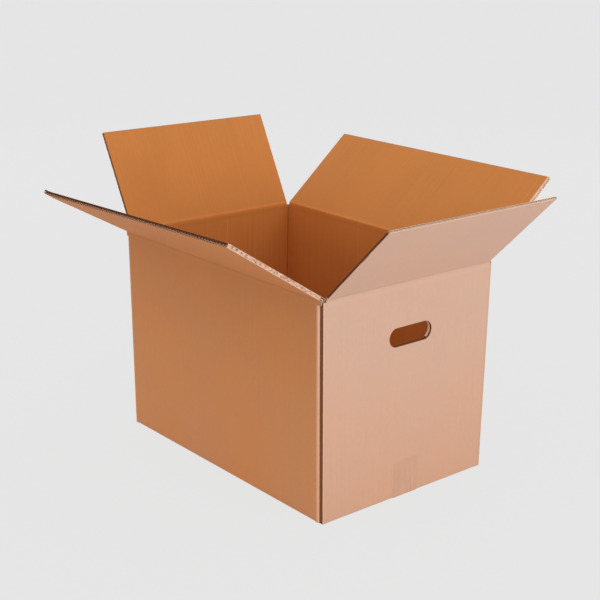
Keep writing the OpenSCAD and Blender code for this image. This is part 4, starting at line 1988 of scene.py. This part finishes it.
@dataclass(frozen=True)
class Studio:
    """Pale floor, soft light and the camera of the photograph."""

    backdrop: tuple[float, float, float, float] = srgb(231, 231, 231)
    world_light: float = 0.69
    floor_shade: float = 0.06
    floor_size: float = 60.0
    lens: float = 76.05
    azimuth: float = math.radians(50.05)
    elevation: float = math.radians(17.33)
    roll: float = math.radians(0.64)
    aim: tuple[float, float, float] = (0.0, 0.0, 0.160)
    back_off: float = 1.963
    aside: float = -0.0038
    raised: float = 0.0731

    def build(self) -> None:
        """Adds the camera, the lamps, the world and the floor."""
        bpy.context.scene.view_settings.view_transform = "Standard"
        self._camera()
        self._world()
        self._floor()
        for lamp in (
            Lamp("key", (2.6, 0.2, 0.75), (2.2, 1.6), 23),
            Lamp("front_fill", (-0.3, -2.7, 0.8), (2.4, 0.9), 9, (1.0, 0.8, 0.58)),
            Lamp("left_fill", (-2.7, -0.3, 0.8), (1.6, 1.2), 8),
            Lamp("back_fill", (-0.2, 2.7, 0.8), (1.6, 1.2), 8),
        ):
            lamp.build()

    def _camera(self) -> None:
        """Sets the camera where the photograph was taken."""
        flat = math.cos(self.elevation)
        back = Vector((math.sin(self.azimuth) * flat, -math.cos(self.azimuth) * flat,
                       math.sin(self.elevation)))
        right = Vector((math.cos(self.azimuth), math.sin(self.azimuth), 0))
        up = back.cross(right)
        data = bpy.data.cameras.new("camera")
        data.lens = self.lens
        camera = bpy.data.objects.new("camera", data)
        camera.location = Vector(self.aim) + back * self.back_off + right * self.aside + up * self.raised
        level = (-back).to_track_quat("-Z", "Y").to_matrix()
        camera.rotation_euler = (level @ Matrix.Rotation(self.roll, 3, "Z")).to_euler()
        bpy.context.scene.collection.objects.link(camera)
        bpy.context.scene.camera = camera

    def _world(self) -> None:
        """Lights the scene evenly, and shows the pale backdrop to the camera."""
        world = bpy.data.worlds.new("studio")
        bpy.context.scene.world = world
        world.use_nodes = True
        sketch = NodeSketch(world.node_tree)
        out = world.node_tree.nodes["World Output"]
        light = sketch.add("ShaderNodeBackground", {"Color": (1, 1, 1, 1), "Strength": self.world_light})
        shown = sketch.add("ShaderNodeBackground", {"Color": self.backdrop, "Strength": 1.0})
        mixed = sketch.add("ShaderNodeMixShader", {0: self._seen(sketch), 1: light.outputs[0],
                                                   2: shown.outputs[0]})
        world.node_tree.links.new(mixed.outputs[0], out.inputs["Surface"])

    @staticmethod
    def _seen(sketch: NodeSketch) -> bpy.types.NodeSocket:
        """Tells whether a ray comes from the camera, straight, by a mirror or through glass.

        Args:
            sketch: The tree that asks.

        Returns:
            1 where it does, or 0.
        """
        path = sketch.add("ShaderNodeLightPath").outputs
        direct = sketch.math("MAXIMUM", path["Is Camera Ray"], path["Is Glossy Ray"])
        return sketch.math("MAXIMUM", direct, path["Is Transmission Ray"])

    def _floor(self) -> None:
        """Adds the floor, which shows the backdrop's colour with a soft shadow of the box."""
        half = self.floor_size / 2
        corners = [(-half, -half, 0), (half, -half, 0), (half, half, 0), (-half, half, 0)]
        mesh = bpy.data.meshes.new("floor")
        mesh.from_pydata(corners, [], [(0, 1, 2, 3)])
        made = bpy.data.materials.new("floor")
        made.use_nodes = True
        sketch = NodeSketch(made.node_tree)
        made.node_tree.nodes.remove(made.node_tree.nodes["Principled BSDF"])
        lit = sketch.add("ShaderNodeBsdfDiffuse", {"Color": self.backdrop})
        glow = sketch.add("ShaderNodeEmission", {"Color": self.backdrop, "Strength": 1.0})
        part = sketch.math("MULTIPLY", self._seen(sketch), 1 - self.floor_shade)
        mixed = sketch.add("ShaderNodeMixShader", {0: part, 1: lit.outputs[0], 2: glow.outputs[0]})
        out = made.node_tree.nodes["Material Output"]
        made.node_tree.links.new(mixed.outputs[0], out.inputs["Surface"])
        mesh.materials.append(made)
        floor = bpy.data.objects.new("floor", mesh)
        bpy.context.scene.collection.objects.link(floor)


def report_piece(piece: bpy.types.Object) -> None:
    """Logs a piece's name and its number of faces."""
    log.info("%s: %d faces", piece.name, len(piece.data.polygons))


def top_flaps(shell: BoxShell) -> list[TopFlap]:
    """Sets up the four top flaps, each bent, torn and crushed in its own way.

    Args:
        shell: The standing part of the box.

    Returns:
        The flaps, in the order of their hinges.
    """
    crush = 0.3
    side_room = 2.5 * MM
    bends = {Side.FRONT: FlapSet(high_droop=math.radians(4.7), skew=0.141, ear=1.5 * MM,
                                 low_flare=7.5 * MM, high_flare=8.5 * MM, crush=0.15),
             Side.BACK: FlapSet(high_droop=math.radians(0.3), skew=0.06, spread=side_room,
                                high_flare=5 * MM, crush=crush, kept=0.0),
             Side.LEFT: FlapSet(spread=side_room, low_flare=side_room, crush=crush, kept=0.0),
             Side.RIGHT: FlapSet(spread=side_room, low_flare=side_room, high_flare=side_room, crush=0.5)}
    pale = TornSide(band=2.6 * MM, swing=1.3 * MM, curl=0.6, waver=2.2, fibres=150, fibre_length=2.2 * MM,
                    tone=0.0, crushed=CrushedFlutes())
    flaps = []
    for side, hinge in shell.sizes.hinges.items():
        flap = TopFlap(hinge, shell.trees, shell.finishes, bends[side], hinge.pivot.z - shell.post_top)
        if side == Side.FRONT:
            flap.low_side = pale
            flap.round_radius = shell.joint.fold_radius
            flap.round_start = -shell.glued_fold
            # Painted shade that the front flap throws on the top of the front panel
            flap.shade = shell.front_shade
        elif side == Side.BACK:
            flap.high_side = pale
        elif side == Side.RIGHT:
            # Painted light: the right flap's rim, lit by the key lamp, takes the pale cut look where the
            # other rims keep the darker fluted paper
            flap.rim = FrayedRim(height=1.4 * MM, paper=0.6 * MM, look=Paper.CUT, tooth_tone=0.0)
            flap.high_side = TornSide(dent=1.6)
        flaps.append(flap)
    return flaps


def main() -> None:
    logging.basicConfig(level=logging.INFO, format="%(message)s")
    Studio().build()
    finishes = board_finishes()
    trees = PaperTrees(paper_tree(), fibre_tree())
    shell = BoxShell(BoxFrame.read(frame, BaseFolds().gap), trees, finishes)

    walls = shell.build_walls()
    for piece in (walls, shell.build_corners(), shell.build_base()):
        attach(piece, "box")
        report_piece(piece)
    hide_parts("box_body")

    for flap in top_flaps(shell):
        board, fold = flap.build_board(), flap.build_fold()
        flap.attach(board, fold)
        for piece in (board, fold):
            report_piece(piece)

    tape = SeamTape(shell.sizes, TapeFinish().material()).build()
    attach(tape, "box")
    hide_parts("bottom_tape")
    report_piece(tape)


if __name__ == "__main__":
    main()
